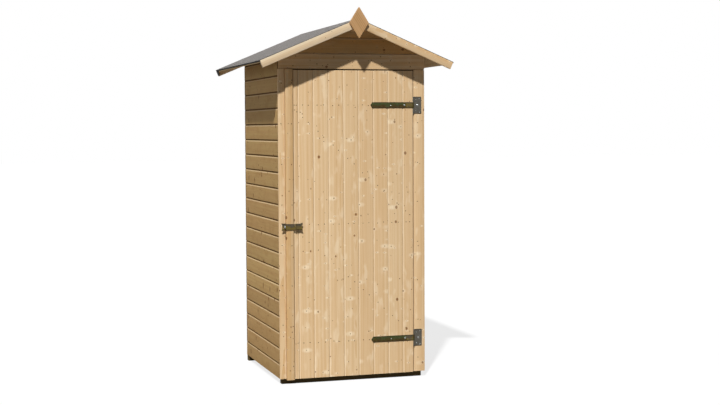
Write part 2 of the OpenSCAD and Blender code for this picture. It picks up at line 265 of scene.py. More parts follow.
def tongued(cover, thick, ramp, depth, gap, plain=""):
    """Section of a tongued and grooved board. Its face is at depth 0, its lower edge is square
    and its upper edge is rebated to a ramp. `plain` names the edges, low or high, that meet no
    other board."""
    tongue = bpy.context.scene.shed_boards.tongue
    lip, back = 0.36 * thick, 0.69 * thick
    ease, shut, spare, under = 0.0008, 0.0008, 0.0012, 0.001
    if "low" in plain:
        low = [(0, thick), (0, ease), (ease, 0)]
    else:
        groove = tongue + spare
        low = [(shut, thick), (shut, back), (groove, back), (groove, lip)]
        low += [(gap, lip), (gap, under), (gap + under, 0)]
    if "high" in plain:
        return low + [(cover - ease, 0), (cover, ease), (cover, thick)]
    # The rebate is a shallow hollow, as a moulding cutter leaves it
    high = [(cover - ramp - 0.0006, 0), (cover - ramp, 0.0001)]
    high += [(cover - 0.6 * ramp, 0.3 * depth), (cover - 0.25 * ramp, 0.7 * depth)]
    high += [(cover, depth), (cover, lip + 0.0004), (cover + tongue, lip + 0.0008)]
    return low + high + [(cover + tongue, back - 0.0008), (cover, back - 0.0004), (cover, thick)]


def painted_ramp_light(u, v, thick, ramp):
    """How much light or shade is painted on a board's section at a point: 1, a painted highlight,
    on the outer part of its ramp, 0 on its face and its open edge, and -1, painted shade with
    dust, in the joint."""
    outer, inner, painted_light, open_edge = ramp
    if open_edge and u < open_edge:
        return 0.0
    share = (u - outer) / (inner - outer)
    if 0 < v < 0.4 * thick and -0.001 <= share <= 1.001:
        return max(-1.0, 1 - 2 * (share / painted_light) ** 2)
    return 0.0 if v < 1e-6 or v > thick - 1e-6 else -1.0


def add_board(bm, dice, section, start, ways, length, steps=6, bow=0.0, ramp=(), tone=()):
    """Runs a section along a length, eases its ends, and gives it its own cut of the log. `ways`
    are along, across and inward. `ramp` says where its ramp starts and ends, what share of it is
    given a painted highlight and how wide its open edge is. `tone` sets how pale and how warm it
    is."""
    along, across, inward = ways
    grain = bm.verts.layers.float_vector["grain"]
    board = bm.verts.layers.float_vector["board"]
    ramped = bm.verts.layers.float["ramp"]
    origin = dice.uniform(0, 40)
    # Distance from the board to the middle of its log, which sets how its rings lie
    heart = (dice.uniform(-0.08, 0.18), dice.choice((-1, 1)) * dice.uniform(0.02, 0.09))
    taper = (dice.uniform(-0.012, 0.012), dice.uniform(-0.012, 0.012))
    look = (dice.random(), dice.uniform(-1, 1), dice.random())
    look = (look[0], *tone) if tone else look
    phase, waves = dice.uniform(0, math.tau), dice.uniform(0.6, 1.4)
    middle = [sum(p[i] for p in section) / len(section) for i in (0, 1)]
    thick = max(v for _, v in section)
    ease = 0.0005
    places = [0, ease] + [length * i / steps for i in range(1, steps)] + [length - ease, length]
    rings = []
    for index, s in enumerate(places):
        lean = bow * math.sin(math.tau * waves * s / length + phase)
        end = index in (0, len(places) - 1)
        ring = []
        for u, v in section:
            on_ramp = painted_ramp_light(u, v, thick, ramp) if ramp else 0.0
            if end:
                # The ends of a ramped board get its joints' painted shade
                on_ramp = -1.0 if ramp else 0.0
                u -= ease * (1 if u > middle[0] else -1)
                v -= ease * (1 if v > middle[1] else -1)
            vert = bm.verts.new(start + along * s + across * u + inward * (v + lean))
            vert[grain] = (s + origin, u - heart[0] + taper[0] * s, v - heart[1] + taper[1] * s)
            vert[board] = look
            vert[ramped] = on_ramp
            ring.append(vert)
        rings.append(ring)
    bm.faces.new(rings[0])
    bm.faces.new(rings[-1])
    for one, two in zip(rings, rings[1:]):
        for j in range(len(section)):
            k = (j + 1) % len(section)
            bm.faces.new((one[j], one[k], two[k], two[j]))


def add_timber(bm, dice, low, high, along, arris, steps=4, tone=()):
    """Fills a box with one squared timber, its grain along X, Y or Z."""
    span = high - low
    # Its wide faces look across the log, so that its knots are round on them
    sides = sorted((axis for axis in (X, Y, Z) if axis != along), key=span.dot, reverse=True)
    section = squared(span.dot(sides[0]), span.dot(sides[1]), arris)
    add_board(bm, dice, section, low, (along, *sides), span.dot(along), steps, tone=tone)


def trim(bm, point, outward):
    """Cuts off everything beyond a plane and closes the cut ends."""
    everything = bm.verts[:] + bm.edges[:] + bm.faces[:]
    cut = bmesh.ops.bisect_plane(
        bm, geom=everything, dist=1e-6, plane_co=point, plane_no=outward, clear_outer=True
    )
    edges = [e for e in cut["geom_cut"] if isinstance(e, bmesh.types.BMEdge)]
    bmesh.ops.holes_fill(bm, edges=edges)


def add_turned(bm, rings, place, axis, segments=16, slot=0):
    """A turned shape from (radius, height) rings, closed at its ends. Returns its points."""
    side = axis.orthogonal().normalized()
    other = axis.cross(side)
    loops = []
    for radius, height in rings:
        middle = place + axis * height
        turns = [math.tau * k / segments for k in range(segments if radius else 1)]
        ways = [(side * math.cos(a) + other * math.sin(a)) * radius for a in turns]
        loops.append([bm.verts.new(middle + way) for way in ways])
    faces = []
    for one, two in zip(loops, loops[1:]):
        for k in range(segments):
            n = (k + 1) % segments
            corners = (one[k % len(one)], one[n % len(one)], two[n % len(two)], two[k % len(two)])
            faces.append(bm.faces.new(list(dict.fromkeys(corners))))
    faces += [bm.faces.new(loop) for loop in (loops[0], loops[-1]) if len(loop) > 1]
    for face in faces:
        face.material_index = slot
    return loops


def add_plate(bm, outlines, thick, place, slot=0, edge=None):
    """A pressed plate with rounded edges. The first outline is its shape and the others are
    holes; `place` turns its flat X and Y, and its Z upwards from the back, to where it lies."""
    edge = edge or bpy.context.scene.shed_iron.edge
    curve = bpy.data.curves.new("outline", "CURVE")
    curve.dimensions, curve.fill_mode = "2D", "BOTH"
    curve.extrude, curve.bevel_depth, curve.bevel_resolution = thick / 2 - edge, edge, 2
    curve.offset = -edge
    for outline in outlines:
        spline = curve.splines.new("POLY")
        spline.points.add(len(outline) - 1)
        for point, (x, y) in zip(spline.points, outline):
            point.co = (x, y, 0, 1)
        spline.use_cyclic_u = True
    holder = bpy.data.objects.new("outline", curve)
    mesh = bpy.data.meshes.new_from_object(holder)
    mesh.transform(Matrix.Translation((0, 0, thick / 2)))
    before = len(bm.verts), len(bm.faces)
    bm.from_mesh(mesh)
    bm.verts.ensure_lookup_table()
    bm.faces.ensure_lookup_table()
    grain = bm.verts.layers.float_vector["grain"]
    for vert in bm.verts[before[0] :]:
        vert[grain] = vert.co
        vert.co = place @ vert.co
    for face in bm.faces[before[1] :]:
        face.material_index = slot
    bpy.data.objects.remove(holder)
    bpy.data.curves.remove(curve)
    bpy.data.meshes.remove(mesh)


def facing(x_way, y_way, place):
    """The matrix that lays a flat outline with its X and Y along two directions."""
    turn = Matrix((x_way, y_way, x_way.cross(y_way))).transposed().to_4x4()
    return Matrix.Translation(place) @ turn


def oblong(left, low, right, high):
    """The outline of a rectangle."""
    return [(left, low), (left, high), (right, high), (right, low)]

# ---- Finishes ----

SOFT = {"interpolation_type": "SMOOTHSTEP"}
COLOURS = {"data_type": "RGBA"}


def add(tree, kind, into=(), out=0, stops=(), **settings):
    """Adds a node, sets its properties, ramp stops and inputs, and returns one of its outputs,
    or the node itself if `out` is None. `kind` may end in an operation, as in "Math ADD", and
    `into` holds values and links, in order or by key."""
    kind, _, operation = kind.partition(" ")
    made = tree.nodes.new("ShaderNode" + kind)
    if operation:
        made.operation = operation
    for key, value in settings.items():
        setattr(made, key, value)
    for key, value in into.items() if isinstance(into, dict) else enumerate(into):
        socket = made.inputs[key]
        if isinstance(value, bpy.types.NodeSocket):
            tree.links.new(value, socket)
        elif socket.type == "RGBA" and len(value) == 3:
            socket.default_value = (*value, 1)
        else:
            socket.default_value = value
    for index, (place, colour) in enumerate(stops):
        elements = made.color_ramp.elements
        stop = elements[index] if index < 2 else elements.new(place)
        stop.position, stop.color = place, (*colour, 1)
    return made if out is None else made.outputs[out]


def surface(name):
    """A new material with one shader in it, and a short way to add its nodes."""
    material = bpy.data.materials.new(name)
    material.use_nodes = True
    tree = material.node_tree
    return material, tree, tree.nodes["Principled BSDF"], partial(add, tree)


def timber(
    name, pale, warm, late,
    ring=0.0036, ring_depth=0.5, late_share=1.0, knots=0.5, spikes=0.0, saw=0.0,
    gloss=0.62, patch=0.6, pale_marks=0.0, mottle=0.0, ramp_pale=0.45,
):
    """Softwood cut from a log: growth rings round its heart, streaks, knots and fibre.

    The boards carry their place in the log as the attribute `grain`, in metres (along, across,
    through), their own number, tone and warmth as `board`, and as `ramp` a painted highlight on
    their ramps (up to 1) and painted shade in their joints (down to -1).
    `ring` is a year's growth and `saw` the step of the saw's marks, in metres. `knots` and
    `spikes` are the shares of places that have one. The rest say how strongly things show."""
    material, tree, shader, put = surface(name)
    palette = bpy.context.scene.shed_colours
    knot = list(palette.knot)
    late = [late_share * part for part in late]
    place = put("Attribute", out="Vector", attribute_name="grain")
    own = put("Attribute", out="Vector", attribute_name="board")
    painted_light = put("Attribute", out="Fac", attribute_name="ramp")
    _, tone, warmth = put("SeparateXYZ", (own,), None).outputs
    _, across, through = put("SeparateXYZ", (place,), None).outputs
    offset = put("VectorMath SCALE", {0: own, 3: 37.0})

    # Clouds, by their real size along, across and through the board in metres, and their detail.
    # Fibre is finer than 0.5 mm in the real wood and is drawn at 1.5 mm, so that it shows.
    sizes = {
        "trunk": (0.7, 0.09, 0.09, 2),
        "ripple": (0.1, 0.014, 0.014, 2),
        "streak": (1.1, 0.022, 0.022, 3),
        "patch": (0.5, 0.06, 0.06, 2),
        "wisp": (0.05, 0.005, 0.005, 3),
        "pale": (0.13, 0.05, 0.05, 2),
        "mottle": (0.09, 0.06, 0.06, 3),
        "redness": (0.22, 0.12, 0.12, 2),
        "ragged": (0.03, 0.012, 0.012, 3),
        "fibre": (0.045, 0.0015, 0.0015, 2),
    }
    cloud = {}
    for key, (*lengths, detail) in sizes.items():
        scale = [1 / length for length in lengths]
        where = put("VectorMath MULTIPLY_ADD", (place, scale, offset))
        cloud[key] = put("TexNoise", {"Vector": where, "Scale": 1, "Detail": detail})

    # Branches: knots 6 to 14 mm over, some 160 mm apart, pin knots between them, and spike knots,
    # which were sawn along their length. Each row has the spacing along and across, the share of
    # places that have one, the least and greatest radius, and the size of the painted sheen beside
    # it, where the fibres swerve and catch the light. Lengths are in metres.
    body, halo, rim, shine, spike = 0.0, 0.0, 0.0, 0.0, 0.0
    rows = [
        (0.130, 0.104, knots, 0.0034, 0.0096, 0.021, 0.044),
        (0.070, 0.056, knots * 0.85, 0.0025, 0.0042, 0.009, 0.018),
        (0.190, 0.120, spikes, 0.0, 0.0, 0.012, 0.021),
    ]
    for gap_along, gap_across, share, least, most, high, wide in rows:
        if not share:
            continue
        scale = (1 / gap_along, 1 / gap_across, 0)
        where = put("VectorMath MULTIPLY_ADD", (place, scale, offset))
        cell = {"Vector": where, "Scale": 1, "Randomness": 0.9}
        cells = put("TexVoronoi", cell, None, voronoi_dimensions="2D")
        chance, weight, paleness = put("SeparateColor", (cells.outputs["Color"],), None).outputs
        kept = put("Math LESS_THAN", (chance, share))
        away = put("VectorMath SUBTRACT", (where, cells.outputs["Position"]))
        # The painted sheen and the spike lie in an oval, a little to one side of the branch's
        # middle
        aside = put("Math MULTIPLY_ADD", (weight, 1.3, -0.65)) if most else 0.0
        aside = put("CombineXYZ", (0.0, aside))
        oval = (gap_along / high, gap_across / wide, 0)
        oval = put("VectorMath MULTIPLY_ADD", (away, oval, aside))
        spread = put("VectorMath LENGTH", (oval,), "Value")
        if not most:
            spread = put("Math MULTIPLY_ADD", (cloud["ragged"], 1.6, spread))
            spike = put("MapRange", (spread, 2.0, 1.2), **SOFT)
            spike = put("Math MULTIPLY", (spike, kept))
            continue
        # Painted sheen beside some of the knots
        chosen = put("MapRange", (paleness, 0.45, 0.7), **SOFT)
        glow = put("MapRange", (spread, 1.05, 0.2), **SOFT)
        glow = put("Math MULTIPLY", (glow, chosen))
        least, most = least / gap_along, (most - least) / gap_along
        rarity = put("Math POWER", (weight, 4.0))
        radius = put("Math MULTIPLY_ADD", (rarity, most, least))
        reach = put("Math DIVIDE", (cells.outputs["Distance"], radius))
        core = put("MapRange", (reach, 1.15, 0.8), **SOFT)
        # A knot has rings of its own, some three of them from its heart to its rim
        years = put("Math PINGPONG", (reach, 0.16))
        years = put("Math MULTIPLY_ADD", (years, 1.8, 0.72))
        strength = put("Math MULTIPLY_ADD", (paleness, -0.3, 1.0))
        core = put("Math MULTIPLY", (core, strength))
        core = put("Math MULTIPLY", (core, years))
        bark = put("Math SUBTRACT", (reach, 1.0))
        bark = put("Math ABSOLUTE", (bark,))
        bark = put("MapRange", (bark, 0.35, 0.0), **SOFT)
        bend = put("MapRange", (reach, 3.5, 1.0), **SOFT)
        # The rings' bend dies away before the next branch's part of the board begins
        border = put("TexVoronoi", cell, voronoi_dimensions="2D", feature="DISTANCE_TO_EDGE")
        inside = put("MapRange", (border, 0.0, 0.12), **SOFT)
        bend = put("Math MULTIPLY", (bend, inside))
        marks = [put("Math MULTIPLY", (mark, kept)) for mark in (core, bark, bend, glow)]
        totals = zip(marks, (body, rim, halo, shine))
        body, rim, halo, shine = (put("Math MAXIMUM", pair) for pair in totals)

    # Growth rings by distance from the heart, wandering as the trunk did, and bent round knots
    flat = put("CombineXYZ", {1: across, 2: through})
    year = put("VectorMath LENGTH", (flat,), "Value")
    for part, amount in ((cloud["trunk"], 0.016), (cloud["ripple"], 0.0016), (halo, 0.005)):
        year = put("Math MULTIPLY_ADD", (part, amount, year))
    year = put("Math DIVIDE", (year, ring))
    dark = put("Math FRACT", (year,))
    dark = put("Math POWER", (dark, 2.2))
    # Some years are darker than others, which is what shows from a few steps away
    decade = put("Math MULTIPLY", (year, 0.33))
    season = put("TexNoise", {"W": decade, "Scale": 1}, noise_dimensions="1D")
    season = put("MapRange", (season, 0.3, 0.7), **SOFT)
    ring_amount = put("Math MULTIPLY_ADD", (season, ring_depth, ring_depth * 0.25))
    ring_amount = put("Math MULTIPLY", (ring_amount, dark))

    # Heartwood lies in broad bands along a board, 20 to 50 mm wide
    streak = put("MapRange", (cloud["streak"], 0.34, 0.66), **SOFT)
    heart = put("Math MULTIPLY", (streak, 0.3))
    heart = put("Math MULTIPLY_ADD", (warmth, 0.7, heart))
    stain = put("MapRange", (cloud["patch"], 0.35, 0.65), **SOFT)
    stain = put("Math MULTIPLY", (stain, streak))
    # Painted sheen: wisps of it beside the knots, and broad patches of it
    wisps = put("MapRange", (cloud["wisp"], 0.36, 0.6, 0.4, 1.0), **SOFT)
    shine = put("Math MULTIPLY", (shine, wisps))
    wide = put("MapRange", (cloud["pale"], 0.56, 0.72, 0.0, 0.45), **SOFT)
    shine = put("Math MAXIMUM", (shine, wide))
    brown = put("MapRange", (cloud["mottle"], 0.48, 0.68), **SOFT)
    red = put("MapRange", (cloud["redness"], 0.5, 0.66), **SOFT)
    painted_highlight = linear("#F3DFBE")
    layers = (
        (heart, 1.0, warm),
        (ring_amount, 1.0, late),
        (season, 0.14, late),
        (stain, 0.35 * patch, late),
        (brown, mottle, late),
        (red, mottle, warm),
        # Painted sheen beside the knots and in broad patches
        (shine, pale_marks, painted_highlight),
        # Painted highlight on the outer part of each ramp
        (put("Math MAXIMUM", (painted_light, 0.0)), ramp_pale, painted_highlight),
        # Painted shade, with dust, lies in the joints
        (put("Math MINIMUM", (painted_light, 0.0)), -0.9, palette.joint),
        (spike, 0.8, [0.75 * part for part in knot]),
        (body, 1.0, knot),
        (rim, 0.5, [0.5 * part for part in knot]),
    )
    colour = pale
    for cover, share, other in layers:
        if not share or cover == 0.0:
            continue
        amount = put("Math MULTIPLY", (cover, share))
        colour = put("Mix", {0: amount, 6: colour, 7: other}, 2, **COLOURS)
    value = put("Math MULTIPLY_ADD", (tone, 0.07, 1.0))
    colour = put("HueSaturation", {"Value": value, "Color": colour})
    tree.links.new(colour, shader.inputs["Base Color"])

    # Fibre scatters the light, and late wood is a little glossier
    rough = put("Math MULTIPLY_ADD", (cloud["fibre"], 0.16, gloss - 0.08))
    rough = put("Math MULTIPLY_ADD", (ring_amount, -0.12, rough))
    tree.links.new(rough, shader.inputs["Roughness"])
    shader.inputs["IOR"].default_value = 1.5
    shader.inputs["Specular IOR Level"].default_value = 0.1

    height = put("Math MULTIPLY", (cloud["fibre"], 0.5))
    height = put("Math MULTIPLY_ADD", (dark, 0.35, height))
    height = put("Math MULTIPLY_ADD", (body, 0.4, height))
    if saw:
        # Saw marks stand nearly square to the grain, one for each step of the blade
        lean = put("VectorMath DOT_PRODUCT", (place, (1 / saw, 0.12 / saw, 0)), "Value")
        mark = put("Math FRACT", (lean,))
        height = put("Math MULTIPLY_ADD", (mark, 0.6, height))
    bump = put("Bump", {"Height": height, "Distance": 0.0005, "Strength": 0.6})
    tree.links.new(bump, shader.inputs["Normal"])
    return material


def speckled(name, colour, grain_size, spread, depth, **shine):
    """A finish with a fine speckle over a slow mottle, which also roughen it. `depth` is how
    deep its grains stand, in metres."""
    material, tree, shader, put = surface(name)
    where = put("TexCoord", out="Object")
    grit = put("TexVoronoi", {"Vector": where, "Scale": 1 / grain_size}, None)
    mottle = put("TexNoise", {"Vector": where, "Scale": 1 / (12 * grain_size), "Detail": 3})
    chance = put("SeparateColor", (grit.outputs["Color"],))
    slow = put("Math MULTIPLY", (mottle, 0.4))
    both = put("Math MULTIPLY_ADD", (chance, 0.6, slow))
    ends = ((0.2, 1 - spread), (0.8, 1 + spread))
    stops = [(place, [min(1, part * share) for part in colour]) for place, share in ends]
    tree.links.new(put("ValToRGB", (both,), stops=stops), shader.inputs["Base Color"])
    bump = put("Bump", {"Height": grit.outputs["Distance"], "Distance": depth, "Strength": 0.7})
    tree.links.new(bump, shader.inputs["Normal"])
    for key, value in shine.items():
        shader.inputs[key].default_value = value
    return material


def coated_steel(name, upper, lower, edge, half, roughness):
    """Pressed steel with a stoved coat over a faint orange peel. Its colour leans from `lower` at
    the foot of each plate to `upper` at its top, as a painted reflection of the ground and the
    sky, broken by a mottle, and its top and bottom edges are darkened with `edge` as painted
    shade.
    Plates carry their flat place as `grain`, and `half` is the height at which a plate's edge
    lies from its middle, in metres."""
    material, tree, shader, put = surface(name)
    place = put("Attribute", out="Vector", attribute_name="grain")
    _, height, _ = put("SeparateXYZ", (place,), None).outputs
    where = put("TexCoord", out="Object")
    clouds = put("TexNoise", {"Vector": where, "Scale": 1 / 0.04, "Detail": 3})
    # Painted reflection: the lower colour towards each plate's foot and the upper towards its top,
    # broken by clouds
    lean = put("Math MULTIPLY_ADD", (height, 0.3 / half, clouds))
    lean = put("MapRange", (lean, 0.38, 0.62), **SOFT)
    colour = put("Mix", {0: lean, 6: lower, 7: upper}, 2, **COLOURS)
    # Spots of thin coat, 6 mm over
    spots = put("TexNoise", {"Vector": where, "Scale": 1 / 0.012, "Detail": 2})
    spots = put("MapRange", (spots, 0.5, 0.62, 0.0, 0.4), **SOFT)
    thin = [min(1, 1.8 * part) for part in upper]
    colour = put("Mix", {0: spots, 6: colour, 7: thin}, 2, **COLOURS)
    # Painted shade darkens each plate near its top and bottom edges
    rise = put("Math ABSOLUTE", (height,))
    rise = put("MapRange", (rise, half - 0.007, half - 0.001, 0.0, 0.85), **SOFT)
    colour = put("Mix", {0: rise, 6: colour, 7: edge}, 2, **COLOURS)
    tree.links.new(colour, shader.inputs["Base Color"])
    rough = put("MapRange", (clouds, 0.35, 0.65, roughness - 0.1, roughness + 0.1))
    tree.links.new(rough, shader.inputs["Roughness"])
    # The peel's 0.6 mm dimples are drawn at 3 mm, so that highlights break up as they do
    peel = put("TexNoise", {"Vector": where, "Scale": 1 / 0.003, "Detail": 2})
    bump = put("Bump", {"Height": peel, "Distance": 0.0004, "Strength": 0.5})
    tree.links.new(bump, shader.inputs["Normal"])
    return material


# Each finish: what makes it, its colours, and its own settings
SPRUCE = "spruce spruce_pink latewood"
FINISHES = {
    # Whitewood spruce, kiln dried and planed: pale straw with honey late wood, brown knots, a soft
    # sheen that the rings break up, and painted sheen beside its knots
    "planed_spruce": (timber, SPRUCE, {"pale_marks": 0.85}),
    # Planed spruce sapwood, the palest of the batch
    "pale_spruce": (
        timber, "spruce_pale spruce latewood", {"ring_depth": 0.35, "pale_marks": 0.5}
    ),
    # Planed spruce that the sun has already turned a shade of honey
    "honey_spruce": (
        timber, "spruce spruce_honey latewood", {"knots": 0.6, "pale_marks": 0.25}
    ),
    # The same planed spruce made darker, as painted shade of the light that grazes the walls,
    # with more colour between its boards and knots sawn along their length
    "wall_spruce": (
        timber,
        "spruce_side spruce_warm latewood",
        {
            "late_share": 0.7, "knots": 0.65, "spikes": 0.3, "patch": 0.8, "mottle": 0.35,
            "ramp_pale": 0.55,
        },
    ),
    # Planed spruce battens: narrow, with long straight rings and few knots
    "spruce_batten": (timber, "batten spruce_pink latewood", {"knots": 0.25, "gloss": 0.68}),
    # Sawn spruce for roof and floor: duller, with the band saw's marks 3 mm apart, and paler, as
    # painted bounce light on the eaves' underside
    "sawn_spruce": (
        timber,
        "rough rough latewood",
        {"ring_depth": 0.4, "saw": 0.003, "gloss": 0.78, "patch": 1.0},
    ),
    # Redwood pine, planed: resinous and darker than spruce, with strong, wide late wood
    "planed_pine": (
        timber,
        "pine pine latewood",
        {"late_share": 0.62, "ring": 0.012, "ring_depth": 0.9, "knots": 0.0, "gloss": 0.55},
    ),
    # Softwood pressure treated with green-brown salts: dull, dark and rough sawn
    "treated_softwood": (
        timber,
        "treated treated treated",
        {"late_share": 0.45, "ring_depth": 0.6, "knots": 0.3, "saw": 0.003, "gloss": 0.85},
    ),
    # Bitumen felt with slate grit rolled into it: dead matt, grey, with dark grains. The 1 mm
    # grit is drawn at 2.5 mm, so that it shows
    "mineral_felt": (
        speckled,
        "felt",
        {"grain_size": 0.0025, "spread": 0.35, "depth": 0.0007, "IOR": 1.45, "Roughness": 0.92},
    ),
    # The felt's hem, cut edge and underside: black bitumen with a dull shine and talc on it
    "cut_bitumen": (
        speckled,
        "bitumen",
        {"grain_size": 0.002, "spread": 0.5, "depth": 0.0005, "IOR": 1.6, "Roughness": 0.7},
    ),
    # Bright zinc plate over turned steel: a clean metal with a faint clouding
    "zinc_plate": (
        speckled,
        "zinc",
        {"grain_size": 0.001, "spread": 0.12, "depth": 2e-5, "Metallic": 1.0, "Roughness": 0.32},
    ),
    # Galvanised clout heads, which weather to a dead grey like the felt's
    "clout_zinc": (
        speckled,
        "clout",
        {"grain_size": 0.001, "spread": 0.25, "depth": 5e-5, "Metallic": 1.0, "Roughness": 0.7},
    ),
    # Wire nail heads, galvanised and gone dull brown
    "wire_nail": (
        speckled,
        "nail",
        {"grain_size": 0.001, "spread": 0.3, "depth": 5e-5, "Metallic": 1.0, "Roughness": 0.55},
    ),
    # Dark green stoved coat over pressed steel, on the straps
    "green_steel": (
        coated_steel, "strap_green strap_olive strap_edge", {"half": 0.0195, "roughness": 0.42}
    ),
    # The same coat on the latch and the folded leaves, grey above and olive below as a painted
    # reflection of the sky and the ground
    "latch_steel": (
        coated_steel, "latch_grey latch_olive strap_edge", {"half": 0.022, "roughness": 0.36}
    ),
    # Dark grey stoved coat over pressed steel, on the plates that are screwed to the stile
    "grey_steel": (
        coated_steel, "plate_grey plate_grey strap_edge", {"half": 0.056, "roughness": 0.45}
    ),
}


def finish(name):
    """The finish of this name, made the first time that a piece asks for it."""
    maker, colours, looks = FINISHES[name]
    palette = bpy.context.scene.shed_colours
    colours = [getattr(palette, colour) for colour in colours.split()]
    return bpy.data.materials.get(name) or maker(name, *colours, **looks)


# ---- Where things are ----


def roof_lines():
    """Height of the roof boards' underside at the ridge, their fall for each metre out, and
    the angle of that fall."""
    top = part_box("ridge_beam")[1].z
    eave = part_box("left_wall")[1]
    fall = (top - eave.z) / abs(eave.x)
    return top, fall, math.atan(fall)


def slope_ways(side):
    """Directions up the slope and square out of it, for the left (-1) or right (1) slope."""
    angle = roof_lines()[2]
    up = Vector((-side * math.cos(angle), 0, math.sin(angle)))
    return up, Vector((side * math.sin(angle), 0, math.cos(angle)))


def roof_edge(node, side):
    """The top corner at a slope's lower edge, and the depth of the piece that hangs from it."""
    low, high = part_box(node)
    _, fall, angle = roof_lines()
    reach = max(abs(low.x), abs(high.x))
    edge_z = high.z - fall * reach
    return Vector((side * reach, low.y, edge_z)), (edge_z - low.z) / math.cos(angle)


def joint_at(name):
    """A point on a joint's axis."""
    return Vector(next(j["pos_m"] for j in frame["joints"] if j["name"] == name))


def door_widths():
    """Widths of the door's boards, from the latch side to the hinge side."""
    s = bpy.context.scene.shed_boards
    low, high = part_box("door_boards")
    middle = (high.x - low.x - s.door_first - s.door_last) / s.door_between
    return [s.door_first] + [middle] * s.door_between + [s.door_last]


def middle_of(low, high):
    """The middle of a span, and half of its length."""
    return (low + high) / 2, (high - low) / 2


# ---- Boards and timbers ----

BOW = 0.0004  # how far a board's face wanders, in metres
DRY_JOINT = 0.0006  # gap in the joints of roof and floor boards, in metres
OPEN_EDGE = 0.002  # width of an edge that meets no other board, in metres


def lay_boards(
    bm, dice, start, ways, reach, thick, cover, cuts, first=0.0, tones=(), painted_light=0.75, plain=""
):
    """Lays tongued boards side by side. `ways` are along, across and inward, `reach` is how far
    the boards run along and across, and `cuts` are a joint's ramp, its depth and its gap.
    `first` is the height of the first joint, `tones` are those of the first board and the rest,
    `painted_light` sets how much of each ramp carries a painted highlight before the joint's
    painted shade, and the first board has `plain` edges."""
    across = ways[1]
    place = first - cover if first else 0.0
    while place < reach[1] - 1e-6:
        edges = "" if place else plain
        section = tongued(cover, thick, *cuts, edges)
        ramp = (cover - cuts[0], cover, painted_light, OPEN_EDGE if edges else 0)
        tone = tones[place > 0] if tones else ()
        at = start + across * place
        add_board(bm, dice, section, at, ways, reach[0], bow=BOW, ramp=ramp, tone=tone)
        place += cover
    trim(bm, start, -across)
    trim(bm, start + across * reach[1], across)


def trim_to_roof(bm):
    """Cuts wall boards and timbers to the underside of both slopes."""
    peak = Vector((0, 0, roof_lines()[0]))
    for side in (-1, 1):
        trim(bm, peak, slope_ways(side)[1])


def board_wall(name, ways, cover, gap, first, wood="wall_spruce", lift=0.0, **looks):
    """Boards one wall from its foot up to the roof. `ways` are along, across and inward."""
    s = bpy.context.scene.shed_boards
    bm, dice = begin(name)
    low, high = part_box(name)
    span, inward = high - low, ways[2]
    face = Vector([high[i] if inward[i] < 0 else low[i] for i in range(3)]) + Z * lift
    reach, thick = (span.dot(ways[0]), span.dot(ways[1])), abs(span.dot(inward))
    cuts = (s.ramp, s.ramp_depth, gap)
    lay_boards(bm, dice, face, ways, reach, thick, cover, cuts, first, **looks)
    trim_to_roof(bm)
    close(name + "_boards", bm, wood, "shed", [name])


def square_timber(name, along, wood, body, arris=None, tone=(), cut=(0, 0), roof=False):
    """Fills a CAD node's box with one squared timber, which `cut` stops short at its left and
    at its top."""
    bm, dice = begin(name)
    low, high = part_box(name)
    arris = arris or bpy.context.scene.shed_boards.arris
    add_timber(bm, dice, low + X * cut[0], high - Z * cut[1], along, arris, tone=tone)
    if roof:
        trim_to_roof(bm)
    close(name + "_timber", bm, wood, body, [name])


# ---- Operators, one for each piece or group of like pieces ----


class ShedPiece:
    """What every operator of the shed shares."""

    bl_options = {"REGISTER", "UNDO"}


class TOOLSHED_OT_side_walls(ShedPiece, bpy.types.Operator):
    """Build the side walls from tongued and grooved boards"""

    bl_idname = "tool_shed.side_walls"
    bl_label = "Side Walls"

    def execute(self, context):
        s = context.scene.shed_boards
        for name, inward in (("left_wall", X), ("right_wall", -X)):
            board_wall(name, (Y, Z, inward), s.wall_cover, s.wall_gap, s.wall_first)
        return {"FINISHED"}


class TOOLSHED_OT_end_walls(ShedPiece, bpy.types.Operator):
    """Build the rear wall and the front gable from tongued and grooved boards"""

    bl_idname = "tool_shed.end_walls"
    bl_label = "End Walls"

    def execute(self, context):
        s = context.scene.shed_boards
        board_wall("rear_wall", (X, Z, -Y), s.wall_cover, s.wall_gap, s.wall_first)
        # The gable's joints stand tighter. Its boards are toned darker and warmer as painted shade
        # under the eaves, the upper ones most, so the board over the door is a paler one
        first = s.gable_cover - s.door_gap - 0.001
        looks = {
            "wood": "honey_spruce",
            "lift": s.head_lift,
            "tones": ((-0.8, 0.1), (-2.2, 1)),
            "painted_light": 1.3,
        }
        board_wall("front_gable", (X, Z, Y), s.gable_cover, s.door_gap, first, **looks)
        return {"FINISHED"}


class TOOLSHED_OT_front_trim(ShedPiece, bpy.types.Operator):
    """Build the corner board, the strip beside the door and the hinge stile"""

    bl_idname = "tool_shed.front_trim"
    bl_label = "Front Trim"

    def execute(self, context):
        s = context.scene.shed_boards
        looks = {
            "left_corner_board": ("planed_spruce", (0.6, 0.1), (0, 0)),
            "door_cover_strip": ("honey_spruce", (-0.2, 0.3), (s.strip_gap, s.strip_gap)),
            "right_door_stile": ("planed_spruce", (0.6, 0.6), (0, s.door_drop)),
        }
        for name, (wood, tone, cut) in looks.items():
            square_timber(name, Z, wood, "shed", tone=tone, cut=cut)
        return {"FINISHED"}


class TOOLSHED_OT_frame_timbers(ShedPiece, bpy.types.Operator):
    """Build the posts, studs, plates, door head and ridge beam inside the boards"""

    bl_idname = "tool_shed.frame_timbers"
    bl_label = "Frame Timbers"

    def execute(self, context):
        posts = [f"{end}_{side}_post" for end in ("front", "rear") for side in ("left", "right")]
        rows = [(Z, name) for name in (*posts, "left_stud", "right_stud", "rear_stud")]
        rows += [(Y, "left_top_plate"), (Y, "right_top_plate")]
        rows += [(X, "door_head"), (Y, "ridge_beam")]
        for along, name in rows:
            roof = name == "ridge_beam"
            square_timber(name, along, "spruce_batten", "shed", roof=roof)
        return {"FINISHED"}


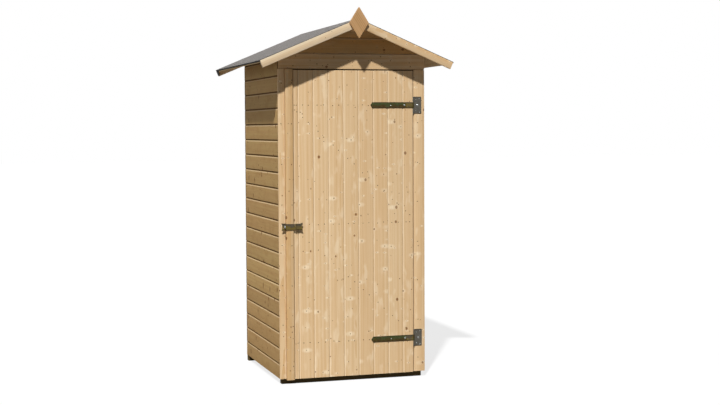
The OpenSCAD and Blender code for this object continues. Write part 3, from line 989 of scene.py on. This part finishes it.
class TOOLSHED_OT_floor(ShedPiece, bpy.types.Operator):
    """Build the treated bearers and the floor boards"""

    bl_idname = "tool_shed.floor"
    bl_label = "Floor"

    def execute(self, context):
        s = context.scene.shed_boards
        for name in ("front_bearer", "middle_bearer", "rear_bearer"):
            square_timber(name, X, "treated_softwood", "shed", arris=0.001)
        low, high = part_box("floor_boards")
        bm, dice = begin("floor_boards")
        start, reach = Vector((low.x, low.y, high.z)), (high.y - low.y, high.x - low.x)
        ways, cuts = (Y, X, -Z), (0.001, 0.001, DRY_JOINT)
        lay_boards(bm, dice, start, ways, reach, high.z - low.z, s.floor_cover, cuts)
        close("floor_board_row", bm, "sawn_spruce", "shed", ["floor_boards"])
        return {"FINISHED"}


class TOOLSHED_OT_roof_boards(ShedPiece, bpy.types.Operator):
    """Build the roof boards, their vee joints to the underside"""

    bl_idname = "tool_shed.roof_boards"
    bl_label = "Roof Boards"

    def execute(self, context):
        s = context.scene.shed_boards
        for side, name in ((-1, "left_roof_deck"), (1, "right_roof_deck")):
            bm, dice = begin(name)
            edge, thick = roof_edge(name, side)
            up, out = slope_ways(side)
            low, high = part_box(name)
            slope = abs(edge.x / up.x)
            cover = slope / round(slope / s.deck_cover)
            cuts = (s.inner_vee, s.inner_vee, DRY_JOINT)
            start, reach = edge - out * thick, (high.y - low.y, slope + thick)
            lay_boards(bm, dice, start, (Y, up, out), reach, thick, cover, cuts, plain="low")
            trim(bm, Vector(), X * -side)
            close(name + "_boards", bm, "sawn_spruce", "shed", [name])
        return {"FINISHED"}


class TOOLSHED_OT_roof_felt(ShedPiece, bpy.types.Operator):
    """Lay the roofing felt, turn it down over the eaves and nail it"""

    bl_idname = "tool_shed.roof_felt"
    bl_label = "Roof Felt"

    def execute(self, context):
        for side, name in ((-1, "left_felt"), (1, "right_felt")):
            felt_sheet(side, name)
            felt_nails(side, name)
        return {"FINISHED"}


FELT_GAP = 0.0002  # clearance between felt and boards, in metres
FELT_ROWS, FOLD_ROWS = 96, 4  # rows of points along the roof, and those in the folded corner
SLOPE_STEPS, HEM_STEPS = 12, 4  # points down the slope and down the hem


def felt_sheet(side, name):
    """One slope of felt: it rises and falls a little over the boards, and its hem is cut
    unevenly. Its top is grit and its edges and back are bitumen."""
    s = bpy.context.scene.shed_roof
    bm, _ = begin(name)
    low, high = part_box(name)
    edge, _ = roof_edge("left_roof_deck", side)
    up, out = slope_ways(side)
    run = abs(edge.x / up.x)
    lean = math.cos(roof_lines()[2])
    hem = (edge.z - low.z) / lean
    # Points on the boards from the ridge to the hem's edge, each with the direction that the
    # felt is thick in, and its share of the hem's unevenness
    path = [(edge + up * (run * k / SLOPE_STEPS), out, 0.0) for k in range(SLOPE_STEPS, 0, -1)]
    path += [(edge + up * 0.004, out, 0.0), (edge, (out - up).normalized() * 1.2, 0.0)]
    for k in range(1, HEM_STEPS + 1):
        path.append((edge - out * (hem * k / HEM_STEPS), -up, k / HEM_STEPS))
    top, back = [], []
    for j in range(FELT_ROWS + 1):
        y = low.y + (high.y - low.y) * j / FELT_ROWS
        wander = noise.noise(Vector((side * 9, y * 16, 7)))
        wander += 0.5 * noise.noise(Vector((side * 5, y * 60, 2)))
        # At the rear the end of the roll is folded down over the barge board
        folded = j >= FELT_ROWS - FOLD_ROWS
        rag = -s.fold if folded else s.hem_rag * max(-1, min(1, wander))
        for skin in (back, top):
            skin.append([])
        for index, (point, way, share) in enumerate(path):
            p = Vector((point.x, y, point.z))
            wave = noise.noise(Vector((abs(p.x) * 5, y * 7, 3))) * 0.5 + 0.5
            lift = FELT_GAP + s.felt_lift * min(1, max(0, wave))
            p += out * (share * rag)
            if index == 0:
                p.x, way = 0, Z / lean
            for skin, height in ((back, lift), (top, lift + s.felt)):
                skin[-1].append(bm.verts.new(p + way * height))
    last = len(path) - 1
    for j in range(FELT_ROWS):
        for i in range(last):
            for skin, slot in ((top, int(i >= last - HEM_STEPS)), (back, 1)):
                corners = (skin[j][i], skin[j][i + 1], skin[j + 1][i + 1], skin[j + 1][i])
                bm.faces.new(corners).material_index = slot
        for i in (0, last):
            corners = (top[j][i], top[j + 1][i], back[j + 1][i], back[j][i])
            bm.faces.new(corners).material_index = 1
    for j in (0, FELT_ROWS):
        for i in range(last):
            corners = (top[j][i], top[j][i + 1], back[j][i + 1], back[j][i])
            bm.faces.new(corners).material_index = 1
    close(name + "_sheet", bm, "mineral_felt cut_bitumen", "shed", [name])


def felt_nails(side, name):
    """Clout nails along the eave and both verges of one slope."""
    s = bpy.context.scene.shed_roof
    bm, dice = begin(name)
    low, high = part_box(name)
    edge, _ = roof_edge("left_roof_deck", side)
    up, out = slope_ways(side)
    margin, stray, head = 0.022, 0.008, s.clout_head
    length, run = high.y - low.y - 2 * margin, abs(edge.x / up.x) - 2 * margin
    count = round(length / s.clout_spacing)
    spots = [(0, low.y + margin + length * k / count) for k in range(count + 1)]
    count = round(run / s.clout_spacing)
    for y in (low.y + margin, high.y - margin):
        spots += [(run * k / count, y) for k in range(1, count + 1)]
    rise = out * (FELT_GAP + s.felt + s.felt_lift * 0.6)
    rings = [(head, -0.001), (head, 0.0004), (head * 0.6, 0.0011), (0, 0.0013)]
    for climb, y in spots:
        place = edge + up * (margin + climb) + rise
        place.y = y + dice.uniform(-stray, stray)
        add_turned(bm, rings, place, out, 12)
    close(name + "_nail_heads", bm, "clout_zinc", "shed")


class TOOLSHED_OT_barges(ShedPiece, bpy.types.Operator):
    """Build the barge boards at both ends of the roof"""

    bl_idname = "tool_shed.barges"
    bl_label = "Barge Boards"

    def execute(self, context):
        for end in ("front", "rear"):
            for side, hand, wood in ((-1, "left", "pale_spruce"), (1, "right", "planed_spruce")):
                name = f"{end}_{hand}_barge"
                bm, dice = begin(name)
                low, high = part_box(name)
                edge, depth = roof_edge(name, side)
                up, out = slope_ways(side)
                section = squared(depth, high.y - low.y, arris=0.002)
                length = abs(edge.x / up.x) + depth
                add_board(bm, dice, section, edge, (up, -out, Y), length)
                trim(bm, Vector(), X * -side)
                close(name + "_board", bm, wood, "shed", [name])
        return {"FINISHED"}


class TOOLSHED_OT_finial(ShedPiece, bpy.types.Operator):
    """Build the diamond on the front of the ridge, its grain along two of its edges"""

    bl_idname = "tool_shed.finial"
    bl_label = "Finial"

    def execute(self, context):
        low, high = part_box("finial")
        wide, tall, ease = high.x - low.x, high.z - low.z, 0.0015
        bm, dice = begin("finial")
        corners = ((wide / 2, 0), (wide, tall / 2), (wide / 2, tall), (0, tall / 2))
        corners = [Vector(corner) for corner in corners]
        section = []
        for k, corner in enumerate(corners):
            for other in (corners[k - 1], corners[(k + 1) % 4]):
                section.append(corner + (other - corner).normalized() * ease)
        add_board(bm, dice, section, low, (Y, X, Z), high.y - low.y, steps=2)
        # The diamond is cut from a strip, so the grain follows its upper right edge
        along = Vector((wide, 0, -tall)).normalized()
        across = along.cross(Y)
        grain = bm.verts.layers.float_vector["grain"]
        for vert in bm.verts:
            place = vert.co - low
            vert[grain] = (place.dot(along) + 3, place.dot(across) + 0.035, place.y + 0.022)
        close("finial_diamond", bm, "planed_pine", "shed", ["finial"])
        return {"FINISHED"}


class TOOLSHED_OT_door(ShedPiece, bpy.types.Operator):
    """Build the door's boards and the ledges and braces behind them"""

    bl_idname = "tool_shed.door"
    bl_label = "Door"

    def execute(self, context):
        s = context.scene.shed_boards
        low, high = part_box("door_boards")
        bm, dice = begin("door_boards")
        widths = door_widths()
        place, last = 0.0, len(widths) - 1
        tall, thick = high.z - low.z - s.door_drop, high.y - low.y
        cuts = (s.door_ramp, s.ramp_depth, s.door_gap)
        # Each board's ramp carries a painted highlight, and its joint painted shade
        looks = {"steps": 10, "bow": BOW, "ramp": (s.door_ramp, 0, 1.3, 0)}
        for index, width in enumerate(widths):
            plain = "high" if index == 0 else "low" if index == last else ""
            section = tongued(width, thick, *cuts, plain)
            # Each board is turned end for end, so that its ramp is on its other side
            section = [(width - u, v) for u, v in reversed(section)]
            # The palest boards of the batch went in at the latch side
            paleness = 0.9 - 1.2 * index / last + dice.uniform(-0.3, 0.3)
            tone = (paleness, dice.random())
            at = low + X * place
            add_board(bm, dice, section, at, (Z, X, Y), tall, tone=tone, **looks)
            place += width
        close("door_board_row", bm, "planed_spruce", "door", ["door_boards"])

        arris = 0.003
        for name in ("door_top_ledge", "door_middle_ledge", "door_bottom_ledge"):
            square_timber(name, X, "spruce_batten", "door", arris=arris)
        for name in ("door_upper_brace", "door_lower_brace"):
            low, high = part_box(name)
            bm, dice = begin(name)
            reach, rise = high.x - low.x, high.z - low.z
            # The brace's width as it is cut level, along the ledges
            cut = s.brace_width / math.sin(math.atan(rise / (reach - s.brace_width)))
            along = Vector((cut - reach, 0, rise)).normalized()
            across = along.cross(Y)
            start = Vector((high.x, low.y, low.z)) - along * s.brace_width
            section = squared(cut * -across.x, high.y - low.y, arris)
            length = (high - low).length + 2 * s.brace_width
            add_board(bm, dice, section, start, (along, across, Y), length)
            trim(bm, low, -Z)
            trim(bm, high, Z)
            close(name + "_timber", bm, "spruce_batten", "door", [name])
        return {"FINISHED"}


# ---- Ironmongery ----

COAT, ZINC, LATCH_COAT = 0, 1, 2  # places of the finishes on each piece of iron
PRESSED = 40  # edges of pressed steel that turn by more degrees than this aren't smoothed


def add_screw(bm, place, radius, slot):
    """A raised head with a cross recess, which faces the front."""
    recess = 0.0011
    rings = [(radius, -0.0004), (radius, 0.0003), (radius * 0.8, 0.0011)]
    rings += [(radius * 0.55, 0.0016), (radius * 0.3, 0.0018), (0, 0.0018)]
    loops = add_turned(bm, rings, place, -Y, 24, slot)
    for loop in loops[3:]:
        for k, vert in enumerate(loop):
            if len(loop) == 1 or k % 6 in (0, 1, 5):
                vert.co += Y * recess


def add_pin(bm, place, radius, half, dome):
    """An upright pin with pointed ends. `half` is half of its length, and `dome` is how high
    its points are."""
    rings = [(0, -half), (radius, dome - half), (radius, half - dome), (0, half)]
    add_turned(bm, rings, place, Z, 16)


def add_knuckle(bm, place, radius, hole, low, high):
    """A rolled knuckle about an upright pin, open through its middle."""
    ease, count = 0.0004, 28
    rings = [(hole, low), (radius - ease, low), (radius, low + ease)]
    rings += [(radius, high - ease), (radius - ease, high), (hole, high)]
    loops = add_turned(bm, rings, place, Z, count)
    # The two flat ends that close a solid shape become the bore
    rims = loops[0] + loops[-1]
    ends = [f for f in bm.faces if len(f.verts) == count and f.verts[0] in rims]
    bmesh.ops.delete(bm, geom=ends, context="FACES_ONLY")
    for k in range(count):
        n = (k + 1) % count
        bm.faces.new((loops[0][k], loops[-1][k], loops[-1][n], loops[0][n]))


class TOOLSHED_OT_hinges(ShedPiece, bpy.types.Operator):
    """Build the strap hinges with their plates, knuckles, pins and screws"""

    bl_idname = "tool_shed.hinges"
    bl_label = "Hinges"

    def execute(self, context):
        for level in ("upper", "lower"):
            hinge_strap(level)
            hinge_plate(level)
        return {"FINISHED"}


def hinge_strap(level):
    """The long leaf on the door: a pointed strap, rolled round the pin and folded back."""
    iron = bpy.context.scene.shed_iron
    node = level + "_hinge_strap"
    low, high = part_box(node)
    axis = joint_at("door_hinge")
    radius = high.x - axis.x
    door_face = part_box("door_boards")[0].y
    face = door_face - iron.steel
    middle, half = middle_of(low.z, high.z)
    reach, point = axis.x - low.x, half * 2 / 3
    bm, _ = begin(node)
    outline = [(0, -half), (0, half), (point - reach, half), (-reach, 0), (point - reach, -half)]
    add_plate(bm, [outline], iron.steel, facing(X, Z, Vector((axis.x, door_face, middle))))
    # The end of the strap is folded back over its own face beside the knuckle
    inner, end, side = radius + 0.0006, iron.leaf_length, half - iron.leaf_drop
    leaf, bead, tip = 0.0018, 0.0019, 0.003
    outline = [(-inner, -side), (-inner, side), (-end, side), (-end - tip, 0), (-end, -side)]
    add_plate(bm, [outline], leaf, facing(X, Z, Vector((axis.x, face, middle))), LATCH_COAT)
    # A rolled bead stiffens the folded leaf
    start = Vector((axis.x - inner - 0.001, face - leaf + 0.0002, middle - half * 0.45))
    length = end - inner - 0.001
    rings = [(0, 0), (0.0015, 0.0004), (bead, 0.002), (bead, length - 0.004), (0, length)]
    add_turned(bm, rings, start, -X, 12, LATCH_COAT)
    bore = iron.hinge_pin + iron.play
    add_knuckle(bm, Vector((axis.x, axis.y, middle)), radius, bore, -half, half)
    # Each screw's distance from the pin, its share of the full size, and its finish
    screws = ((0.061, 1, ZINC), (0.106, 0.8, COAT), (0.159, 0.6, ZINC), (0.254, 0.8, COAT))
    for out, share, slot in screws:
        add_screw(bm, Vector((axis.x - out, face, middle)), iron.screw_head * share, slot)
    finishes = "green_steel zinc_plate latch_steel"
    close(node + "_iron", bm, finishes, "door", [node], sharp=PRESSED)


def hinge_plate(level):
    """The fixed leaf on the stile, with the outer knuckles and the pin."""
    iron = bpy.context.scene.shed_iron
    node = level + "_hinge_plate"
    low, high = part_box(node)
    strap_low, strap_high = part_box(level + "_hinge_strap")
    axis = joint_at("door_hinge")
    pin, nick, radius = iron.hinge_pin, 0.003, axis.x - low.x
    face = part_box("right_door_stile")[0].y
    middle, half = middle_of(low.z, high.z)
    clear = radius + iron.play
    inside = middle_of(strap_low.z, strap_high.z)[1] + iron.play
    wide = high.x - axis.x
    outline = [(0, -half), (wide - nick, -half), (wide, nick - half), (wide, half - nick)]
    outline += [(wide - nick, half), (0, half), (0, inside), (clear, inside)]
    outline += [(clear, -inside), (0, -inside)]
    bm, _ = begin(node)
    add_plate(bm, [outline], iron.steel, facing(X, Z, Vector((axis.x, face, middle))))
    centre = Vector((axis.x, axis.y, middle))
    add_knuckle(bm, centre, radius, pin, -half, -inside)
    add_knuckle(bm, centre, radius, pin, inside, half)
    add_pin(bm, centre, pin, half, dome=0.001)
    # One big screw in the middle, and four small ones staggered about it
    front = Vector((axis.x + (clear + wide) / 2, face - iron.steel, middle))
    add_screw(bm, front, iron.screw_head * 1.1, ZINC)
    for x, z in ((-0.012, 0.036), (0.012, 0.044), (-0.012, -0.036), (0.012, -0.044)):
        add_screw(bm, front + Vector((x, 0, z)), iron.screw_head * 0.6, ZINC)
    finishes = "grey_steel zinc_plate"
    close(node + "_iron", bm, finishes, "shed", [node], sharp=PRESSED)


def flared(length, straight, low_half, high_half, limit):
    """Outline of a plate that widens from the pin to a hollowed end, running along X. Nothing
    of it lies nearer the pin than `limit`."""
    way = 1 if length > 0 else -1
    hollow, centre = high_half * 1.9, length + way * high_half * 1.7
    half_cut = math.sqrt(hollow**2 - (high_half * 1.7) ** 2)
    points = [(way * limit, -low_half), (way * straight, -low_half), (length, -high_half)]
    for k in range(13):
        z = -half_cut + 2 * half_cut * k / 12
        points.append((centre - way * math.sqrt(hollow**2 - z * z), z))
    return points + [(length, high_half), (way * straight, low_half), (way * limit, low_half)]


class TOOLSHED_OT_latch(ShedPiece, bpy.types.Operator):
    """Build the latch: a bracket on the door, a hasp that swings on it, and its staple"""

    bl_idname = "tool_shed.latch"
    bl_label = "Latch"

    def execute(self, context):
        iron = context.scene.shed_iron
        steel, bore = iron.steel, iron.latch_pin
        pin = joint_at("hasp_hinge")
        hasp_low, hasp_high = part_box("latch_hasp")
        # Half of the latch's height at its pin and at its flared ends, and half of a knuckle's
        half, flare = 0.019, (hasp_high.z - hasp_low.z) / 2
        knuckle = half / 3 - iron.play / 2
        radius = hasp_high.x - pin.x
        clear, lap, outside = radius + iron.play, 0.001, pin.y + 0.002
        plane = facing(X, Z, Vector((pin.x, outside + steel, pin.z)))

        bm, _ = begin("latch_bracket")
        bracket_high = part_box("latch_bracket")[1]
        reach = bracket_high.x - pin.x
        add_plate(bm, [flared(reach, reach / 2, half, flare, clear)], steel, plane)
        tab = oblong(lap, -knuckle, clear + lap, knuckle)
        for side in (-1, 1):
            foot = pin.z + side * (half - steel / 2) - steel / 2
            low = Vector((pin.x + clear, outside, foot))
            high = low + Vector((reach / 2, bracket_high.y - outside, steel))
            add_timber(bm, random.Random(1), low, high, Y, iron.edge, steps=1)
            rise = Z * (side * half * 2 / 3)
            add_knuckle(bm, pin + rise, radius, bore, -knuckle, knuckle)
            add_plate(bm, [tab], steel, Matrix.Translation(rise) @ plane)
        add_pin(bm, pin, bore, half, dome=0.0008)
        name = "latch_bracket"
        close(name + "_iron", bm, "latch_steel", "door", [name], sharp=PRESSED)

        bm, _ = begin("latch_hasp")
        length = pin.x - hasp_low.x
        eye_low, eye_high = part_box("latch_staple")
        # The slot is centred on the staple, and these are half of its width and height
        slot_x, slot_u, slot_v = (eye_low.x + eye_high.x) / 2 - pin.x, 0.0045, 0.012
        slot = oblong(slot_x - slot_u, -slot_v, slot_x + slot_u, slot_v)
        shape = flared(-length, length * 0.6, half, flare, clear)
        add_plate(bm, [shape, slot], steel, plane)
        add_plate(bm, [oblong(-clear - lap, -knuckle, -lap, knuckle)], steel, plane)
        add_knuckle(bm, pin, radius, bore + iron.play, -knuckle, knuckle)
        name = "latch_hasp"
        close(name + "_iron", bm, "latch_steel", "hasp", [name], sharp=PRESSED)

        bm, _ = begin("latch_staple")
        base_x, base_z = (eye_high.x - eye_low.x) / 2, (eye_high.z - eye_low.z) / 2
        centre = Vector(((eye_low.x + eye_high.x) / 2, eye_high.y, pin.z))
        base = 0.002
        plane = facing(X, Z, centre)
        add_plate(bm, [oblong(-base_x, -base_z, base_x, base_z)], base, plane)
        # Radii of the eye and its hole, and the thickness of the bar that it is made from
        eye, hole, bar = 0.010, 0.005, 0.005
        out = eye_high.y - eye_low.y - eye
        loop = [(lap, -eye), (lap, eye)]
        for k in range(17):
            a = math.pi * k / 16
            loop.append((out + eye * math.sin(a), eye * math.cos(a)))
        turns = [math.tau * k / 20 for k in range(20)]
        opening = [(out + hole * math.cos(a), hole * math.sin(a)) for a in turns]
        side_on = facing(-Y, Z, centre - (-Y).cross(Z) * bar / 2)
        add_plate(bm, [loop, opening], bar, side_on, ZINC, edge=0.0014)
        screw, reach = 0.003, 0.017
        for side in (-1, 1):
            add_screw(bm, centre + Vector((0, -base, side * reach)), screw, ZINC)
        name, finishes = "latch_staple", "grey_steel zinc_plate"
        close(name + "_iron", bm, finishes, "shed", [name], sharp=PRESSED)
        return {"FINISHED"}


def drive_nail(bm, dice, place, outward):
    """One wire nail's head, a little off its mark."""
    radius, stray = bpy.context.scene.shed_iron.nail_head, 0.003
    side = outward.orthogonal().normalized()
    place = place + side * dice.uniform(-stray, stray)
    place += outward.cross(side) * dice.uniform(-stray, stray)
    rings = [(radius, -0.001), (radius, 0.0002), (radius * 0.6, 0.0005), (0, 0.0006)]
    add_turned(bm, rings, place, outward, 10)


def under_iron(x, z, nodes, margins):
    """Whether a nail's mark lies under one of the iron pieces, or within the margins to its
    left, to its right, and above and below it."""
    left, right, rise = margins
    boxes = [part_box(node) for node in nodes]
    return any(
        low.x - left < x < high.x + right and low.z - rise < z < high.z + rise
        for low, high in boxes
    )


class TOOLSHED_OT_nails(ShedPiece, bpy.types.Operator):
    """Nail the boards to the frame and the door's boards to its ledges and braces"""

    bl_idname = "tool_shed.nails"
    bl_label = "Nails"

    def execute(self, context):
        s = context.scene.shed_boards
        left_low, left_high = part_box("left_wall")
        rear_low, rear_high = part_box("rear_wall")
        post_low, post_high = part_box("front_left_post")
        inset = (post_high.y - post_low.y) / 2
        bm, dice = begin("wall_nails")
        # Nails stand over each joint, and at least `margin` from the foot and the corners
        rise, margin = 0.028, 0.03
        foot, rows = left_low.z, int((left_high.z - left_low.z) / s.wall_cover)
        for row in range(rows):
            z = foot + s.wall_first + s.wall_cover * (row - 1) + rise
            if z < foot:
                z = foot + margin
            for y in (left_low.y + inset, 0, left_high.y - inset):
                for side in (-1, 1):
                    place = Vector((side * abs(left_low.x), y, z))
                    drive_nail(bm, dice, place, X * side)
            for x in (rear_low.x + margin, 0, rear_high.x - margin):
                drive_nail(bm, dice, Vector((x, rear_high.y, z)), Y)
        close("wall_nail_heads", bm, "wire_nail", "shed")

        bm, dice = begin("trim_nails")
        gable_y, head_z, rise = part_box("front_gable")[0].y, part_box("door_head")[0].z, 0.022
        for x in (-0.4, -0.2, 0.0, 0.2, 0.4):
            drive_nail(bm, dice, Vector((x, gable_y, head_z + rise)), -Y)
        iron = ("upper_hinge_plate", "lower_hinge_plate", "latch_staple")
        margins, count, margin = (0.005, 0.005, 0.03), 8, 0.09
        # How far across each board its nails stand
        trims = {"left_corner_board": 0.5, "door_cover_strip": 0.8, "right_door_stile": 0.35}
        for name, across in trims.items():
            low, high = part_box(name)
            x = low.x + (high.x - low.x) * across
            for k in range(count):
                z = low.z + margin + (high.z - low.z - 2 * margin) * k / (count - 1)
                if not under_iron(x, z, iron, margins):
                    drive_nail(bm, dice, Vector((x, low.y, z)), -Y)
        close("trim_nail_heads", bm, "wire_nail", "shed")

        bm, dice = begin("door_nails")
        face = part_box("door_boards")[0]
        edges = list(accumulate(door_widths(), initial=face.x))
        iron = ("upper_hinge_strap", "lower_hinge_strap", "latch_bracket", "latch_hasp")
        margins = (0.008, 0.004, 0.006)
        ledges = [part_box(f"door_{ledge}_ledge") for ledge in ("top", "middle", "bottom")]
        braces = [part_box("door_upper_brace"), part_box("door_lower_brace")]
        for left, right in zip(edges, edges[1:]):
            for x in (left + 0.3 * (right - left), left + 0.7 * (right - left)):
                marks = [(low.z + high.z) / 2 for low, high in ledges]
                for low, high in braces:
                    marks.append(high.z - (high.z - low.z) * (x - low.x) / (high.x - low.x))
                for z in marks:
                    if not under_iron(x, z, iron, margins):
                        drive_nail(bm, dice, Vector((x, face.y, z)), -Y)
        close("door_nail_heads", bm, "wire_nail", "door")
        return {"FINISHED"}


# ---- Stage ----


class TOOLSHED_OT_stage(ShedPiece, bpy.types.Operator):
    """Set up the pale floor, the light and the camera"""

    bl_idname = "tool_shed.stage"
    bl_label = "Stage"

    def execute(self, context):
        scene = context.scene
        s = scene.shed_stage
        bm = bmesh.new()
        bmesh.ops.create_grid(bm, x_segments=1, y_segments=1, size=60)
        mesh = bpy.data.meshes.new("floor")
        bm.to_mesh(mesh)
        bm.free()
        floor = bpy.data.objects.new("studio_floor", mesh)
        scene.collection.objects.link(floor)
        mesh.materials.append(studio_floor())

        world = bpy.data.worlds.new("studio")
        world.use_nodes = True
        tree = world.node_tree
        path = add(tree, "LightPath", out=None).outputs
        strength = add(tree, "Math MULTIPLY_ADD", (path["Is Glossy Ray"], s.gleam, s.fill))
        seen = add(tree, "Math MAXIMUM", (path["Is Camera Ray"], path["Is Transmission Ray"]))
        strength = add(tree, "Math MULTIPLY_ADD", (seen, 1.0 - s.fill, strength))
        background = tree.nodes["Background"]
        background.inputs["Color"].default_value = (1, 1, 1, 1)
        tree.links.new(strength, background.inputs["Strength"])
        scene.world = world

        wide = math.radians(60)
        lights = (
            ("key", s.sun, s.sun_spread, s.sun_way),
            ("side", s.side, wide, s.side_way),
            ("rear", s.rear, wide, s.rear_way),
        )
        for name, strength, spread, way in lights:
            lamp = bpy.data.lights.new(name, "SUN")
            lamp.energy, lamp.angle = strength, spread
            light = bpy.data.objects.new(name, lamp)
            light.rotation_euler = Vector(way).to_track_quat("-Z", "Y").to_euler()
            scene.collection.objects.link(light)

        lens = bpy.data.cameras.new("camera")
        lens.lens, lens.sensor_width = s.lens, 36
        lens.shift_x, lens.shift_y = s.shift
        camera = bpy.data.objects.new("camera", lens)
        camera.location, camera.rotation_euler = s.eye, s.look
        scene.collection.objects.link(camera)
        scene.camera = camera
        scene.view_settings.view_transform = "Standard"
        return {"FINISHED"}


def studio_floor():
    """White painted boards for a floor: it glows evenly to the camera, and keeps a soft
    shadow."""
    material, tree, shader, put = surface("studio_floor")
    shader.inputs["Base Color"].default_value = (0.25, 0.25, 0.25, 1)
    shader.inputs["Roughness"].default_value = 0.9
    shader.inputs["Specular IOR Level"].default_value = 0.0
    glow = put("Emission", ((1, 1, 1), 0.78))
    shaded = put("BsdfDiffuse", ((0.2, 0.2, 0.2),))
    lit = put("AddShader", (shaded, glow))
    seen = put("LightPath", out="Is Camera Ray")
    shown = put("MixShader", (seen, shader.outputs[0], lit))
    tree.links.new(shown, tree.nodes["Material Output"].inputs["Surface"])
    return material


# ---- Panel and running ----

PIECES = (
    TOOLSHED_OT_side_walls,
    TOOLSHED_OT_end_walls,
    TOOLSHED_OT_front_trim,
    TOOLSHED_OT_frame_timbers,
    TOOLSHED_OT_floor,
    TOOLSHED_OT_roof_boards,
    TOOLSHED_OT_roof_felt,
    TOOLSHED_OT_barges,
    TOOLSHED_OT_finial,
    TOOLSHED_OT_door,
    TOOLSHED_OT_hinges,
    TOOLSHED_OT_latch,
    TOOLSHED_OT_nails,
    TOOLSHED_OT_stage,
)
GROUPS = {
    "shed_boards": ShedBoardSizes,
    "shed_roof": ShedRoofSizes,
    "shed_iron": ShedIronSizes,
    "shed_colours": ShedColours,
    "shed_stage": ShedStageSettings,
}


class TOOLSHED_PT_panel(bpy.types.Panel):
    """The shed's pieces in the order that they are built, and their settings"""

    bl_idname = "TOOLSHED_PT_panel"
    bl_label = "Tool Shed"
    bl_space_type = "VIEW_3D"
    bl_region_type = "UI"
    bl_category = "Tool Shed"

    def draw(self, context):
        column = self.layout.column(align=True)
        for piece in PIECES:
            column.operator(piece.bl_idname)
        for name in GROUPS:
            group = getattr(context.scene, name)
            box = self.layout.box()
            for key in group.bl_rna.properties.keys():
                if key not in ("rna_type", "name"):
                    box.prop(group, key)


CLASSES = (*GROUPS.values(), *PIECES, TOOLSHED_PT_panel)


def register():
    for cls in CLASSES:
        bpy.utils.register_class(cls)
    for name, group in GROUPS.items():
        setattr(bpy.types.Scene, name, bpy.props.PointerProperty(type=group))


def unregister():
    for name in GROUPS:
        delattr(bpy.types.Scene, name)
    for cls in reversed(CLASSES):
        bpy.utils.unregister_class(cls)


def main():
    """Builds every piece in order."""
    register()
    for piece in PIECES:
        group, name = piece.bl_idname.split(".")
        getattr(getattr(bpy.ops, group), name)()


if __name__ == "__main__":
    main()
